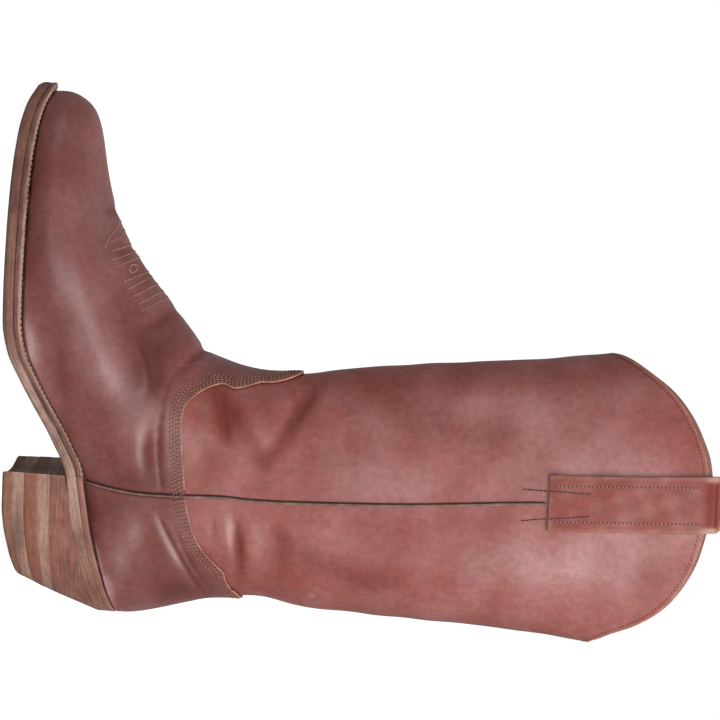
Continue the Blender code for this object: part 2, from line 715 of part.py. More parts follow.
def edge_points(rows):
    """An overlay's top edge in Y and Z, as a flowing curve through its table."""
    centre = y_at(1.0) - SHAFT_SETBACK
    front = centre - SHAFT_RINGS[0][SHAFT_COLUMNS.index("front")] * SHAFT_DEPTH
    back = centre + SHAFT_RINGS[0][SHAFT_COLUMNS.index("back")] * SHAFT_DEPTH
    shares = column(rows, EDGE_COLUMNS, "from_front")
    heights = column(rows, EDGE_COLUMNS, "up")
    steps = np.linspace(0, len(rows) - 1, EDGE_STEPS * (len(rows) - 1) + 1)
    weights = spline_weights(steps, tuple(range(len(rows))))
    return list(zip(front + weights @ shares * (back - front), weights @ heights * INSTEP_HEIGHT))


def overlay(name, top_edge, seam_offset, far_y, look):
    """A piece of the foot's outer skin: a larger shell of the upper's own form, cut to its outline
    from the side. Its rear or front edge lies beside the side seam."""
    top_level = OVERLAY_TOP_RING / (len(FOOT_RINGS) + len(SHAFT_RINGS) - 1)
    shell = add_object(name, wall_mesh(GAP, GAP + OVERLAY, top_level), look)
    foot = welt_top(BREAST_ALONG)
    edge = edge_points(top_edge)
    near_seam = sorted(edge[: 2 * EDGE_STEPS + 1])
    meeting_z = float(np.interp(seam_y(top_edge[0][1] * INSTEP_HEIGHT, 1), *zip(*near_seam)))
    seam_heights = np.linspace(foot, meeting_z, SEAM_EDGE_STEPS)
    seam = [(seam_y(z, 1) + seam_offset, z) for z in seam_heights]
    top = [point for point in edge if (point[0] - seam[-1][0]) * seam_offset > 0]
    outline = [(seam[0][0], -BALL_WIDTH), *seam, *top, (far_y, top[-1][1]), (far_y, -BALL_WIDTH)]
    cut = shell.modifiers.new("outline", "BOOLEAN")
    cut.operation = "INTERSECT"
    cut.solver = "EXACT"
    cut.object = side_prism(name + " outline", outline)


def overlays():
    look = material("vamp leather", RED_BROWN, 0.4)
    overlay("vamp", VAMP_EDGE, -SEAM_SLOT / 2, -SOLE_LENGTH, look)
    overlay("counter", COUNTER_EDGE, SEAM_SLOT / 2, SOLE_LENGTH, look)


def side_seam(side, name):
    """A piped seam up the side, from the sole to the pull strap."""
    bm = bmesh.new()
    foot = welt_top(BREAST_ALONG) + 2 * GAP
    top = SIDE_HEIGHT - STRAP_LENGTH - 4 * GAP
    half = PIPING_WIDTH / 2
    crown = half * PIPING_TOP
    section = ((-half, 0.0), (half, 0.0), (crown, PIPING_HEIGHT), (-crown, PIPING_HEIGHT))
    rings = []
    for z in np.linspace(foot, top, SEAM_ROWS):
        ring = []
        for offset, out in section:
            level, turn = find_level_turn(seam_y(z, side) + offset, z, side)
            ring.append(faceted(level, turn, 1.5 * GAP + out))
        rings.append(ring)
    made = add_rings(bm, rings)
    cap_flat(bm, made[0])
    cap_flat(bm, made[-1])
    return add_object(name, bm, material(name + " leather", RED_BROWN, 0.5))


def pull_strap(side, name):
    """A strap folded over the collar: a leaf outside, a fold above the edge and a leaf inside."""
    bm = bmesh.new()
    across = np.linspace(-0.5, 0.5, STRAP_POINTS) * STRAP_WIDTH
    near = 2 * GAP

    def collar_z(offset):
        below = SIDE_HEIGHT - STRAP_FOLD_START
        level, turn = find_level_turn(seam_y(SIDE_HEIGHT, side) + offset, below, side)
        return float(surface(1.0, turn)[2])

    heights = [collar_z(offset) for offset in across]

    def leaf(drop, out):
        """One row across the strap at a distance below the collar, this far out from the face."""
        row = []
        for offset, top in zip(across, heights):
            z = top - drop
            level, turn = find_level_turn(seam_y(z, side) + offset, z, side)
            row.append(faceted(level, turn, out))
        return np.array(row)

    def fold(lift, out):
        """One row across the strap over the collar's edge."""
        row = leaf(STRAP_FOLD_END, out)
        row[:, 2] += STRAP_FOLD_END + lift
        return row

    outer_drops = np.linspace(STRAP_LENGTH, STRAP_FOLD_START, STRAP_OUTER_ROWS)
    inner_drops = np.linspace(STRAP_FOLD_START, STRAP_INNER_LENGTH, STRAP_INNER_ROWS)
    inside = -(WALL + near)
    rim = STRAP_RISE + near
    over_rim = rim + STRAP_THICKNESS
    rounded = STRAP_THICKNESS * STRAP_FOLD_ROUNDING
    close_rows = [leaf(drop, near) for drop in outer_drops]
    close_rows += [fold(rim, near), fold(rim, inside)]
    close_rows += [leaf(drop, inside) for drop in inner_drops]
    far_rows = [leaf(drop, near + STRAP_THICKNESS) for drop in outer_drops]
    far_rows += [fold(over_rim, near + rounded), fold(over_rim, inside - rounded)]
    far_rows += [leaf(drop, inside - STRAP_THICKNESS) for drop in inner_drops]
    rings = [list(close) + list(far[::-1]) for close, far in zip(close_rows, far_rows)]
    made = add_rings(bm, rings)
    cap_strap_end(bm, made[0])
    cap_strap_end(bm, made[-1])
    return add_object(name, bm, material(name + " leather", SHAFT_RED, 0.45))


def cap_strap_end(bm, ring):
    """Closes the strap's end with quads between its two faces."""
    count = len(ring)
    for i in range(count // 2 - 1):
        bm.faces.new((ring[i], ring[i + 1], ring[count - 2 - i], ring[count - 1 - i]))


def clear_scene():
    for found in list(bpy.data.objects):
        bpy.data.objects.remove(found, do_unlink=True)


def main():
    clear_scene()
    outsole()
    sole_strip("welt", range(-BREAST_STEP, BREAST_STEP + 1), 0.0)
    sole_strip("heel_rand", range(BREAST_STEP, TURNS - BREAST_STEP + 1), GAP)
    heel()
    insole()
    upper()
    overlays()
    for side, word in ((1, "outer"), (-1, "inner")):
        side_seam(side, f"side_seam_{word}")
        pull_strap(side, f"pull_strap_{word}")


main()
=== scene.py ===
# %% [markdown]
# # A western boot, piece by piece
#
# A western boot is sewn over a wooden last: a vamp wraps the forefoot, a counter wraps the heel, and a
# tall shaft of two halves joins them. Underneath lie a welt, a leather outsole and a heel of stacked
# lifts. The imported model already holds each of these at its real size. This notebook makes the finished
# leather over them: the same form, drawn much finer, with its folds, edges, stitches and wear.

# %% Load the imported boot
import math

import bmesh
import bpy
import numpy as np
from mathutils import Matrix, Vector


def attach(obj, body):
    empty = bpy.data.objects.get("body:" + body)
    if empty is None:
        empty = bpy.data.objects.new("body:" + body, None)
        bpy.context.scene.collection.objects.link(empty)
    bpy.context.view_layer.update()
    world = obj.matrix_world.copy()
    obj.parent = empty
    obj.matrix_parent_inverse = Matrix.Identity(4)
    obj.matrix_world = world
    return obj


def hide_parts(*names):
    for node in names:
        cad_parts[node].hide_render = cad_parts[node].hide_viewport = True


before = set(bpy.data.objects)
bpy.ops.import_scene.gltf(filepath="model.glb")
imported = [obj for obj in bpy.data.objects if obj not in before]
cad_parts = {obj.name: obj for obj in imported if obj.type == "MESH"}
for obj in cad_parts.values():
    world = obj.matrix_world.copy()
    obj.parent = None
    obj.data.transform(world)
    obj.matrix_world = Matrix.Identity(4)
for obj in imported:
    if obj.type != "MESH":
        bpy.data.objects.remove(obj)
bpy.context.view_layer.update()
print("nodes:", ", ".join(sorted(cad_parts)))

# %% [markdown]
# ## The camera
#
# The photograph shows the boot's outer side with its toe at the top, so the camera looks at a standing
# boot and is rolled by about a quarter turn. Its place follows from the angle, the distance and the
# width of what it sees. A long lens keeps the perspective as flat as the photograph's.

# %% Place the camera
AZIMUTH = math.radians(81.7)
ELEVATION = math.radians(4.7)
ROLL = math.radians(3.1)
DISTANCE = 2.96
SEEN_WIDTH = 0.396
SENSOR = 36.0
TARGET = Vector((0.0, -0.0019, 0.1922))

towards = Vector((
    math.sin(AZIMUTH) * math.cos(ELEVATION),
    -math.cos(AZIMUTH) * math.cos(ELEVATION),
    math.sin(ELEVATION),
))
level_right = Vector((math.cos(AZIMUTH), math.sin(AZIMUTH), 0.0))
straight_up = towards.cross(level_right)
picture_right = straight_up * math.cos(ROLL) - level_right * math.sin(ROLL)
picture_up = -(level_right * math.cos(ROLL) + straight_up * math.sin(ROLL))

camera_data = bpy.data.cameras.new("camera")
camera_data.sensor_width = SENSOR
camera_data.lens = DISTANCE * SENSOR / SEEN_WIDTH
camera_data.clip_end = 50.0
camera = bpy.data.objects.new("camera", camera_data)
camera.matrix_world = Matrix((
    (picture_right.x, picture_up.x, towards.x, 0.0),
    (picture_right.y, picture_up.y, towards.y, 0.0),
    (picture_right.z, picture_up.z, towards.z, 0.0),
    (0.0, 0.0, 0.0, 1.0),
))
camera.location = TARGET + towards * DISTANCE
bpy.context.scene.collection.objects.link(camera)
bpy.context.scene.camera = camera
print("lens in mm:", round(camera_data.lens, 1))

# %% [markdown]
# ## The studio
#
# The photograph is a plain product picture on pure white. Its light is soft and comes mostly from the
# collar's side, so the shaft is bright and the toe is darker. A near softbox gives that fall of light,
# and three weaker ones fill the side, the back and the toe's front. The world stands for the white
# walls: it is white where the camera sees it, and dimmer as a light, which keeps the leather's deep
# red. The floor does the same: white to the camera, grey to the leather.

# %% Floor, walls and softboxes
FLOOR_SIZE = 12.0
FLOOR_GREY = (0.32, 0.32, 0.32)
FLOOR_GLOW = 0.93
WALL_LIGHT = 0.44
SOFTBOX_SIZE = 1.0


def plain_material(name, colour, roughness):
    """A material with one colour all over."""
    made = bpy.data.materials.new(name)
    made.use_nodes = True
    shader = made.node_tree.nodes["Principled BSDF"]
    shader.inputs["Base Color"].default_value = (*colour, 1.0)
    shader.inputs["Roughness"].default_value = roughness
    return made


floor_bm = bmesh.new()
bmesh.ops.create_grid(floor_bm, x_segments=1, y_segments=1, size=FLOOR_SIZE / 2)
floor_mesh = bpy.data.meshes.new("floor")
floor_bm.to_mesh(floor_mesh)
floor_bm.free()
floor_look = plain_material("studio floor", FLOOR_GREY, 0.9)
floor_nodes = floor_look.node_tree
floor_shader = floor_nodes.nodes["Principled BSDF"]
floor_shader.inputs["Emission Color"].default_value = (1.0, 1.0, 1.0, 1.0)
floor_seen = floor_nodes.nodes.new("ShaderNodeLightPath")
floor_strength = floor_nodes.nodes.new("ShaderNodeMapRange")
floor_strength.inputs["To Max"].default_value = FLOOR_GLOW
floor_nodes.links.new(floor_seen.outputs["Is Camera Ray"], floor_strength.inputs["Value"])
floor_nodes.links.new(floor_strength.outputs[0], floor_shader.inputs["Emission Strength"])
floor_mesh.materials.append(floor_look)
floor = bpy.data.objects.new("floor", floor_mesh)
bpy.context.scene.collection.objects.link(floor)

world = bpy.data.worlds.new("white walls")
world.use_nodes = True
walls = world.node_tree.nodes["Background"]
walls.inputs["Color"].default_value = (1.0, 1.0, 1.0, 1.0)
seen_by = world.node_tree.nodes.new("ShaderNodeLightPath")
wall_strength = world.node_tree.nodes.new("ShaderNodeMapRange")
wall_strength.inputs["To Min"].default_value = WALL_LIGHT
wall_strength.inputs["To Max"].default_value = 1.0
world.node_tree.links.new(seen_by.outputs["Is Camera Ray"], wall_strength.inputs["Value"])
world.node_tree.links.new(wall_strength.outputs[0], walls.inputs["Strength"])
bpy.context.scene.world = world
bpy.context.scene.view_settings.view_transform = "Standard"


def softbox(name, place, aim_height, power):
    """A square area light at a place, aimed at a height of the boot's middle."""
    data = bpy.data.lights.new(name, "AREA")
    data.shape = "SQUARE"
    data.size = SOFTBOX_SIZE
    data.energy = power
    made = bpy.data.objects.new(name, data)
    made.location = place
    towards_boot = Vector((0.0, 0.0, aim_height)) - Vector(place)
    made.rotation_euler = towards_boot.to_track_quat("-Z", "Y").to_euler()
    bpy.context.scene.collection.objects.link(made)


softbox("collar softbox", (1.05, 0.45, 0.85), 0.25, 17.0)
softbox("side softbox", (2.3, -0.5, 0.35), 0.12, 6.1)
softbox("back softbox", (-1.2, 0.9, 1.1), 0.20, 6.0)
softbox("front softbox", (0.9, -2.0, 0.45), 0.12, 2.4)

# %% [markdown]
# ## The last: one function for the whole upper
#
# Every leather piece of the upper follows the last, so its form is written once. Rings run round the
# boot from the sole up to the collar, and a smooth curve joins them. `level` climbs from the sole (0)
# to the collar (1), and `turn` runs once round from the front over the outer side. The tables are the
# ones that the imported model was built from: shares of a few real sizes.

# %% Driving sizes, in metres
MM = 0.001
SOLE_LENGTH = 0.292
BALL_WIDTH = 0.100
SEAT_WIDTH = 0.064
TOE_SPRING = 0.009
BREAST_HEIGHT = 0.036
SEAT_RISE = 0.017
OUTSOLE_THICKNESS = 0.006
WELT_THICKNESS = 0.0038
WELT_WIDTH = 0.012
WELT_MARGIN = 0.0055
HEEL_BASE_LENGTH = 0.0615
HEEL_BASE_WIDTH = 0.056
BREAST_HOLLOW = 0.0035
HEEL_WEAR = 0.007
TOP_LIFT_THICKNESS = 0.0052
LIFT_THICKNESS = 0.0072
LIFT_COUNT = 3
WALL = 0.0022
OVERLAY = 0.0014
INSTEP_HEIGHT = 0.143
ANKLE_HEIGHT = 0.146
FRONT_HEIGHT = 0.330
BACK_HEIGHT = 0.325
SIDE_HEIGHT = 0.390
SHAFT_DEPTH = 0.154
SHAFT_WIDTH = 0.086
SHAFT_SETBACK = 0.078
SHAFT_TWIST = math.radians(9)
STRAP_WIDTH = 0.030
STRAP_LENGTH = 0.0885
STRAP_INNER_LENGTH = 0.060
STRAP_THICKNESS = 0.0022
GAP = 0.0003
BREAST_TURN = 13 / 40
BREAST_ALONG = (1 - math.cos(2 * math.pi * BREAST_TURN)) / 2
END_REACH = 0.22

# %% Tables of the sole: outline, side line and margin
OUTLINE_COLUMNS = ("along", "ball", "seat", "swing")
SOLE_OUTLINE = (
    (0.000, 0.000, 0.000, -0.055),
    (0.030, 0.160, 0.000, -0.050),
    (0.100, 0.285, 0.000, -0.040),
    (0.200, 0.405, 0.000, -0.020),
    (0.310, 0.483, 0.000, -0.004),
    (0.370, 0.500, 0.000, 0.000),
    (0.450, 0.478, 0.000, 0.008),
    (0.550, 0.280, 0.150, 0.022),
    (0.640, 0.130, 0.290, 0.026),
    (0.730, 0.000, 0.480, 0.016),
    (0.850, 0.000, 0.500, 0.004),
    (0.930, 0.000, 0.430, 0.000),
    (0.975, 0.000, 0.290, 0.000),
    (1.000, 0.000, 0.000, 0.000),
)
LINE_COLUMNS = ("along", "toe", "breast", "seat")
SOLE_LINE = (
    (0.00, 1.00, 0.00, 0.00),
    (0.04, 0.45, 0.00, 0.00),
    (0.09, 0.16, 0.00, 0.00),
    (0.16, 0.03, 0.00, 0.00),
    (0.22, 0.00, 0.00, 0.00),
    (0.43, 0.00, 0.00, 0.00),
    (0.49, 0.00, 0.07, 0.00),
    (0.545, 0.00, 0.25, 0.00),
    (0.60, 0.00, 0.48, 0.00),
    (0.66, 0.00, 0.75, 0.00),
    (0.73, 0.00, 0.98, 0.00),
    (0.79, 0.00, 1.00, 0.12),
    (0.90, 0.00, 1.00, 0.53),
    (1.00, 0.00, 1.00, 1.00),
)
MARGIN_COLUMNS = ("along", "margin")
MARGIN = ((0.0, 1.15), (0.35, 0.95), (0.55, 0.45), (0.75, 0.30), (1.0, 0.30))

# %% Tables of the rings: foot, shaft and the collar's scallop
FOOT_COLUMNS = (
    "front_out", "front_up", "back_in", "back_up", "line", "swing",
    "tip", "fore", "mid", "rear", "back",
)
FOOT_RINGS = (
    (1.000, 0.000, 0.000, 0.000, 1.00, 1.00, 0.000, 0.000, 0.000, 0.000, 0.000),
    (0.999, 0.079, 0.020, 0.033, 0.85, 1.00, 0.420, 0.513, 0.345, 0.408, 0.575),
    (0.972, 0.144, 0.045, 0.069, 0.70, 1.00, 0.395, 0.500, 0.355, 0.412, 0.570),
    (0.918, 0.189, 0.080, 0.111, 0.58, 1.00, 0.345, 0.475, 0.362, 0.415, 0.560),
    (0.803, 0.224, 0.145, 0.166, 0.45, 1.00, 0.285, 0.448, 0.366, 0.418, 0.550),
    (0.624, 0.271, 0.227, 0.226, 0.32, 0.90, 0.270, 0.430, 0.368, 0.420, 0.520),
    (0.448, 0.359, 0.364, 0.311, 0.20, 0.70, 0.275, 0.398, 0.370, 0.420, 0.485),
    (0.300, 0.486, 0.582, 0.420, 0.10, 0.45, 0.290, 0.375, 0.370, 0.413, 0.445),
    (0.126, 0.645, 0.855, 0.565, 0.03, 0.20, 0.300, 0.368, 0.368, 0.403, 0.400),
    (0.063, 0.710, 0.964, 0.661, 0.00, 0.08, 0.320, 0.366, 0.366, 0.395, 0.385),
    (0.035, 0.794, 1.020, 0.758, 0.00, 0.02, 0.335, 0.364, 0.363, 0.388, 0.373),
    (0.013, 0.873, 1.040, 0.855, 0.00, 0.00, 0.345, 0.362, 0.361, 0.383, 0.366),
)
SHAFT_COLUMNS = ("front_up", "back_up", "front", "back", "width", "scallop", "twist")
SHAFT_RINGS = (
    (0.000, 0.000, 0.388, 0.423, 0.419, 0.00, 0.00),
    (0.107, 0.100, 0.393, 0.445, 0.424, 0.00, 0.08),
    (0.235, 0.229, 0.417, 0.456, 0.436, 0.00, 0.20),
    (0.380, 0.380, 0.439, 0.466, 0.453, 0.03, 0.38),
    (0.529, 0.536, 0.458, 0.473, 0.469, 0.14, 0.56),
    (0.674, 0.687, 0.473, 0.481, 0.483, 0.36, 0.72),
    (0.824, 0.855, 0.489, 0.495, 0.494, 0.68, 0.87),
    (1.000, 1.000, 0.522, 0.511, 0.500, 1.00, 1.00),
)
PLACES = (0.0, 0.30, 0.58, 0.82, 1.0)
SCALLOP_COLUMNS = ("round", "front", "back")
SCALLOP = (
    (0.00, 1.00, 1.00),
    (0.10, 0.90, 0.97),
    (0.17, 0.82, 0.90),
    (0.24, 0.73, 0.81),
    (0.34, 0.59, 0.59),
    (0.45, 0.42, 0.40),
    (0.54, 0.30, 0.28),
    (0.63, 0.20, 0.19),
    (0.72, 0.12, 0.12),
    (0.82, 0.05, 0.07),
    (1.00, 0.00, 0.00),
)

# %% Smooth curves through a table
def column(rows, names, name):
    """One named column of a table as an array."""
    return np.array([row[names.index(name)] for row in rows], float)


def hermite(x, xs, ys, slopes):
    """The cubic through (xs, ys) that has these slopes, read at x."""
    x = np.clip(x, xs[0], xs[-1])
    i = np.clip(np.searchsorted(xs, x, side="right") - 1, 0, len(xs) - 2)
    width = xs[i + 1] - xs[i]
    t = (x - xs[i]) / width
    start = (1 + 2 * t) * (1 - t) ** 2 * ys[i] + t * (1 - t) ** 2 * width * slopes[i]
    end = t * t * (3 - 2 * t) * ys[i + 1] + t * t * (t - 1) * width * slopes[i + 1]
    return start + end


def monotone(x, xs, ys):
    """A curve through the points that never swings past them, so that a flat stays flat."""
    steps = np.diff(ys) / np.diff(xs)
    slopes = np.concatenate([[steps[0]], np.zeros(len(xs) - 2), [steps[-1]]])
    same = steps[:-1] * steps[1:] > 0
    means = 2 * steps[:-1][same] * steps[1:][same] / (steps[:-1][same] + steps[1:][same])
    slopes[1:-1][same] = means
    return hermite(x, xs, ys, slopes)


def spline_bends(xs):
    """Second derivatives of the natural cubic spline through xs, for a unit step at each point."""
    count = len(xs)
    gaps = np.diff(xs)
    left = np.eye(count)
    right = np.zeros((count, count))
    for i in range(1, count - 1):
        left[i, i - 1 : i + 2] = gaps[i - 1], 2 * (gaps[i - 1] + gaps[i]), gaps[i]
        right[i, i - 1] += 6 / gaps[i - 1]
        right[i, i] -= 6 / gaps[i - 1] + 6 / gaps[i]
        right[i, i + 1] += 6 / gaps[i]
    return np.linalg.solve(left, right)


def spline_weights(x, xs, bends):
    """Weights of the natural cubic spline: one row for each x, one column for each point."""
    gaps = np.diff(xs)
    x = np.clip(x, xs[0], xs[-1])
    i = np.clip(np.searchsorted(xs, x, side="right") - 1, 0, len(xs) - 2)
    gap = gaps[i]
    a = (xs[i + 1] - x) / gap
    b = 1 - a
    points = np.eye(len(xs))
    bend_a = ((a**3 - a) * gap**2 / 6)[..., None]
    bend_b = ((b**3 - b) * gap**2 / 6)[..., None]
    return a[..., None] * points[i] + b[..., None] * points[i + 1] + bend_a * bends[i] + bend_b * bends[i + 1]


def smooth(low, high, x):
    """0 below low, 1 above high and a soft step between."""
    t = np.clip((x - low) / (high - low), 0, 1)
    return t * t * (3 - 2 * t)


# %% The sole's outline and lines as functions
def y_at(along):
    """Y of a place along the sole, from the toe's tip (0) to the heel's back (1)."""
    return (along - 0.5) * SOLE_LENGTH


def along_at(y):
    """The place along the sole of a y."""
    return y / SOLE_LENGTH + 0.5


def sole_half_width(along):
    """Half width of the sole. Its square is smoothed, which rounds both ends."""
    xs = column(SOLE_OUTLINE, OUTLINE_COLUMNS, "along")
    ball = column(SOLE_OUTLINE, OUTLINE_COLUMNS, "ball") * BALL_WIDTH
    seat = column(SOLE_OUTLINE, OUTLINE_COLUMNS, "seat") * SEAT_WIDTH
    return np.sqrt(np.maximum(monotone(along, xs, (ball + seat) ** 2), 0))


def sole_centre(along):
    """X of the sole's middle, which swings inwards at the toe."""
    xs = column(SOLE_OUTLINE, OUTLINE_COLUMNS, "along")
    return monotone(along, xs, column(SOLE_OUTLINE, OUTLINE_COLUMNS, "swing")) * BALL_WIDTH


def sole_bottom(along):
    """Height of the outsole's lower face."""
    xs = column(SOLE_LINE, LINE_COLUMNS, "along")
    toe = monotone(along, xs, column(SOLE_LINE, LINE_COLUMNS, "toe")) * TOE_SPRING
    breast = monotone(along, xs, column(SOLE_LINE, LINE_COLUMNS, "breast")) * BREAST_HEIGHT
    seat = monotone(along, xs, column(SOLE_LINE, LINE_COLUMNS, "seat")) * SEAT_RISE
    return toe + breast + seat


def welt_bottom(along):
    """Height of the welt's lower face, just clear of the outsole."""
    return sole_bottom(along) + OUTSOLE_THICKNESS + GAP


def welt_top(along):
    """Height of the welt's upper face."""
    return welt_bottom(along) + WELT_THICKNESS


def margin(along):
    """Distance from the sole's edge in to the upper's lower edge."""
    xs = column(MARGIN, MARGIN_COLUMNS, "along")
    return monotone(along, xs, column(MARGIN, MARGIN_COLUMNS, "margin")) * WELT_MARGIN


def inset_along(u, front, back):
    """Place along the sole of a ring that starts this far inside its toe and ends inside its heel."""
    from_toe = np.maximum(0, 1 - u / END_REACH) ** 2 * front / SOLE_LENGTH
    from_heel = np.maximum(0, 1 - (1 - u) / END_REACH) ** 2 * back / SOLE_LENGTH
    return u + from_toe - from_heel


def edge_along(u):
    """Place along the sole of the upper's lower edge."""
    return inset_along(u, margin(0.0), margin(1.0))


def edge_half_width(u):
    """Half width of the upper's lower edge."""
    return sole_half_width(u) * (1 - margin(u) / (BALL_WIDTH / 2))


# %% Rings into one surface
def scallop(turn, chord):
    """Height of the collar above the straight line between its front and its back."""
    xs = column(SCALLOP, SCALLOP_COLUMNS, "round")
    around = np.abs(np.arcsin(np.clip(np.sin(2 * math.pi * turn), -1, 1))) / (math.pi / 2)
    front = monotone(around, xs, column(SCALLOP, SCALLOP_COLUMNS, "front"))
    back = monotone(around, xs, column(SCALLOP, SCALLOP_COLUMNS, "back"))
    front_height = SIDE_HEIGHT - front * (SIDE_HEIGHT - FRONT_HEIGHT)
    back_height = SIDE_HEIGHT - back * (SIDE_HEIGHT - BACK_HEIGHT)
    return np.where(np.cos(2 * math.pi * turn) > 0, front_height, back_height) - chord


def ring_table():
    """Each ring's front and back points, sole line, swing, scallop, twist and five half widths."""
    foot = {name: column(FOOT_RINGS, FOOT_COLUMNS, name) for name in FOOT_COLUMNS}
    shaft = {name: column(SHAFT_RINGS, SHAFT_COLUMNS, name) for name in SHAFT_COLUMNS}
    centre = y_at(1.0) - SHAFT_SETBACK
    shaft_front = centre - shaft["front"] * SHAFT_DEPTH
    shaft_back = centre + shaft["back"] * SHAFT_DEPTH
    toe_y = y_at(edge_along(0.0))
    seat_y = y_at(edge_along(1.0))
    toe_z = welt_top(edge_along(0.0)) + GAP
    seat_z = welt_top(edge_along(1.0)) + GAP
    front_y = shaft_front[0] + foot["front_out"] * (toe_y - shaft_front[0])
    back_y = seat_y + foot["back_in"] * (shaft_back[0] - seat_y)
    front_z = toe_z + foot["front_up"] * (INSTEP_HEIGHT - toe_z)
    back_z = seat_z + foot["back_up"] * (ANKLE_HEIGHT - seat_z)
    shaft_front_z = INSTEP_HEIGHT + shaft["front_up"] * (FRONT_HEIGHT - INSTEP_HEIGHT)
    shaft_back_z = ANKLE_HEIGHT + shaft["back_up"] * (BACK_HEIGHT - ANKLE_HEIGHT)
    none = np.zeros(len(SHAFT_RINGS))
    widths = [foot[name] * BALL_WIDTH for name in FOOT_COLUMNS[-5:]]
    return np.column_stack([
        np.concatenate([front_y, shaft_front]),
        np.concatenate([front_z, shaft_front_z]),
        np.concatenate([back_y, shaft_back]),
        np.concatenate([back_z, shaft_back_z]),
        np.concatenate([foot["line"], none]),
        np.concatenate([foot["swing"], none]),
        np.concatenate([np.zeros(len(FOOT_RINGS)), shaft["scallop"]]),
        np.concatenate([np.zeros(len(FOOT_RINGS)), shaft["twist"] * SHAFT_TWIST]),
        *[np.concatenate([width, shaft["width"] * SHAFT_WIDTH]) for width in widths],
    ])


RINGS = ring_table()
RING_STEPS = np.arange(len(RINGS), dtype=float)
RING_BENDS = spline_bends(RING_STEPS)
PLACE_STEPS = np.array(PLACES)
PLACE_BENDS = spline_bends(PLACE_STEPS)


def surface(level, turn):
    """Points of the upper's outer face, before its folds."""
    level, turn = np.broadcast_arrays(np.asarray(level, float), np.asarray(turn, float))
    weights = spline_weights(level * RING_STEPS[-1], RING_STEPS, RING_BENDS)
    front_y, front_z, back_y, back_z, line, swing, rise, twist = np.moveaxis(weights @ RINGS[:, :8], -1, 0)
    angle = 2 * math.pi * turn
    u = (1 - np.cos(angle)) / 2
    half = (spline_weights(u, PLACE_STEPS, PLACE_BENDS) * (weights @ RINGS[:, 8:])).sum(axis=-1)
    half = half * np.abs(np.sin(angle)) + weights[..., 0] * edge_half_width(u)
    y = front_y + u * (back_y - front_y)
    first = RINGS[0]
    y = y + line * (y_at(edge_along(u)) - (first[0] + u * (first[2] - first[0])))
    sag = welt_top(edge_along(u)) + GAP - (first[1] + u * (first[3] - first[1]))
    chord = front_z + u * (back_z - front_z)
    z = chord + line * sag + rise * scallop(turn, FRONT_HEIGHT + u * (BACK_HEIGHT - FRONT_HEIGHT))
    x = np.sign(np.sin(angle)) * half + swing * sole_centre(along_at(y))
    centre = y_at(1.0) - SHAFT_SETBACK
    behind = y - centre
    turned_x = x * np.cos(twist) + behind * np.sin(twist)
    turned_y = centre + behind * np.cos(twist) - x * np.sin(twist)
    return np.stack([turned_x, turned_y, z], axis=-1)


def slopes(level, turn):
    """How the surface's point moves for a small step of level and of turn."""
    step = 1e-3
    above = np.minimum(level + step, 1)
    below = np.maximum(level - step, 0)
    by_level = (surface(above, turn) - surface(below, turn)) / (above - below)[..., None]
    by_turn = (surface(level, turn + step) - surface(level, turn - step)) / (2 * step)
    return by_level, by_turn


def normals(level, turn):
    """Outward unit normals. At the sole they lie flat, so that the lower edge does too."""
    level, turn = np.broadcast_arrays(np.asarray(level, float), np.asarray(turn, float))
    by_level, by_turn = slopes(level, turn)
    found = np.cross(by_turn, by_level)
    found[..., 2] *= np.clip(level / 0.05, 0, 1)
    return found / np.linalg.norm(found, axis=-1, keepdims=True)


print("collar's side at", np.round(1000 * surface(1.0, 0.25), 1), "mm")
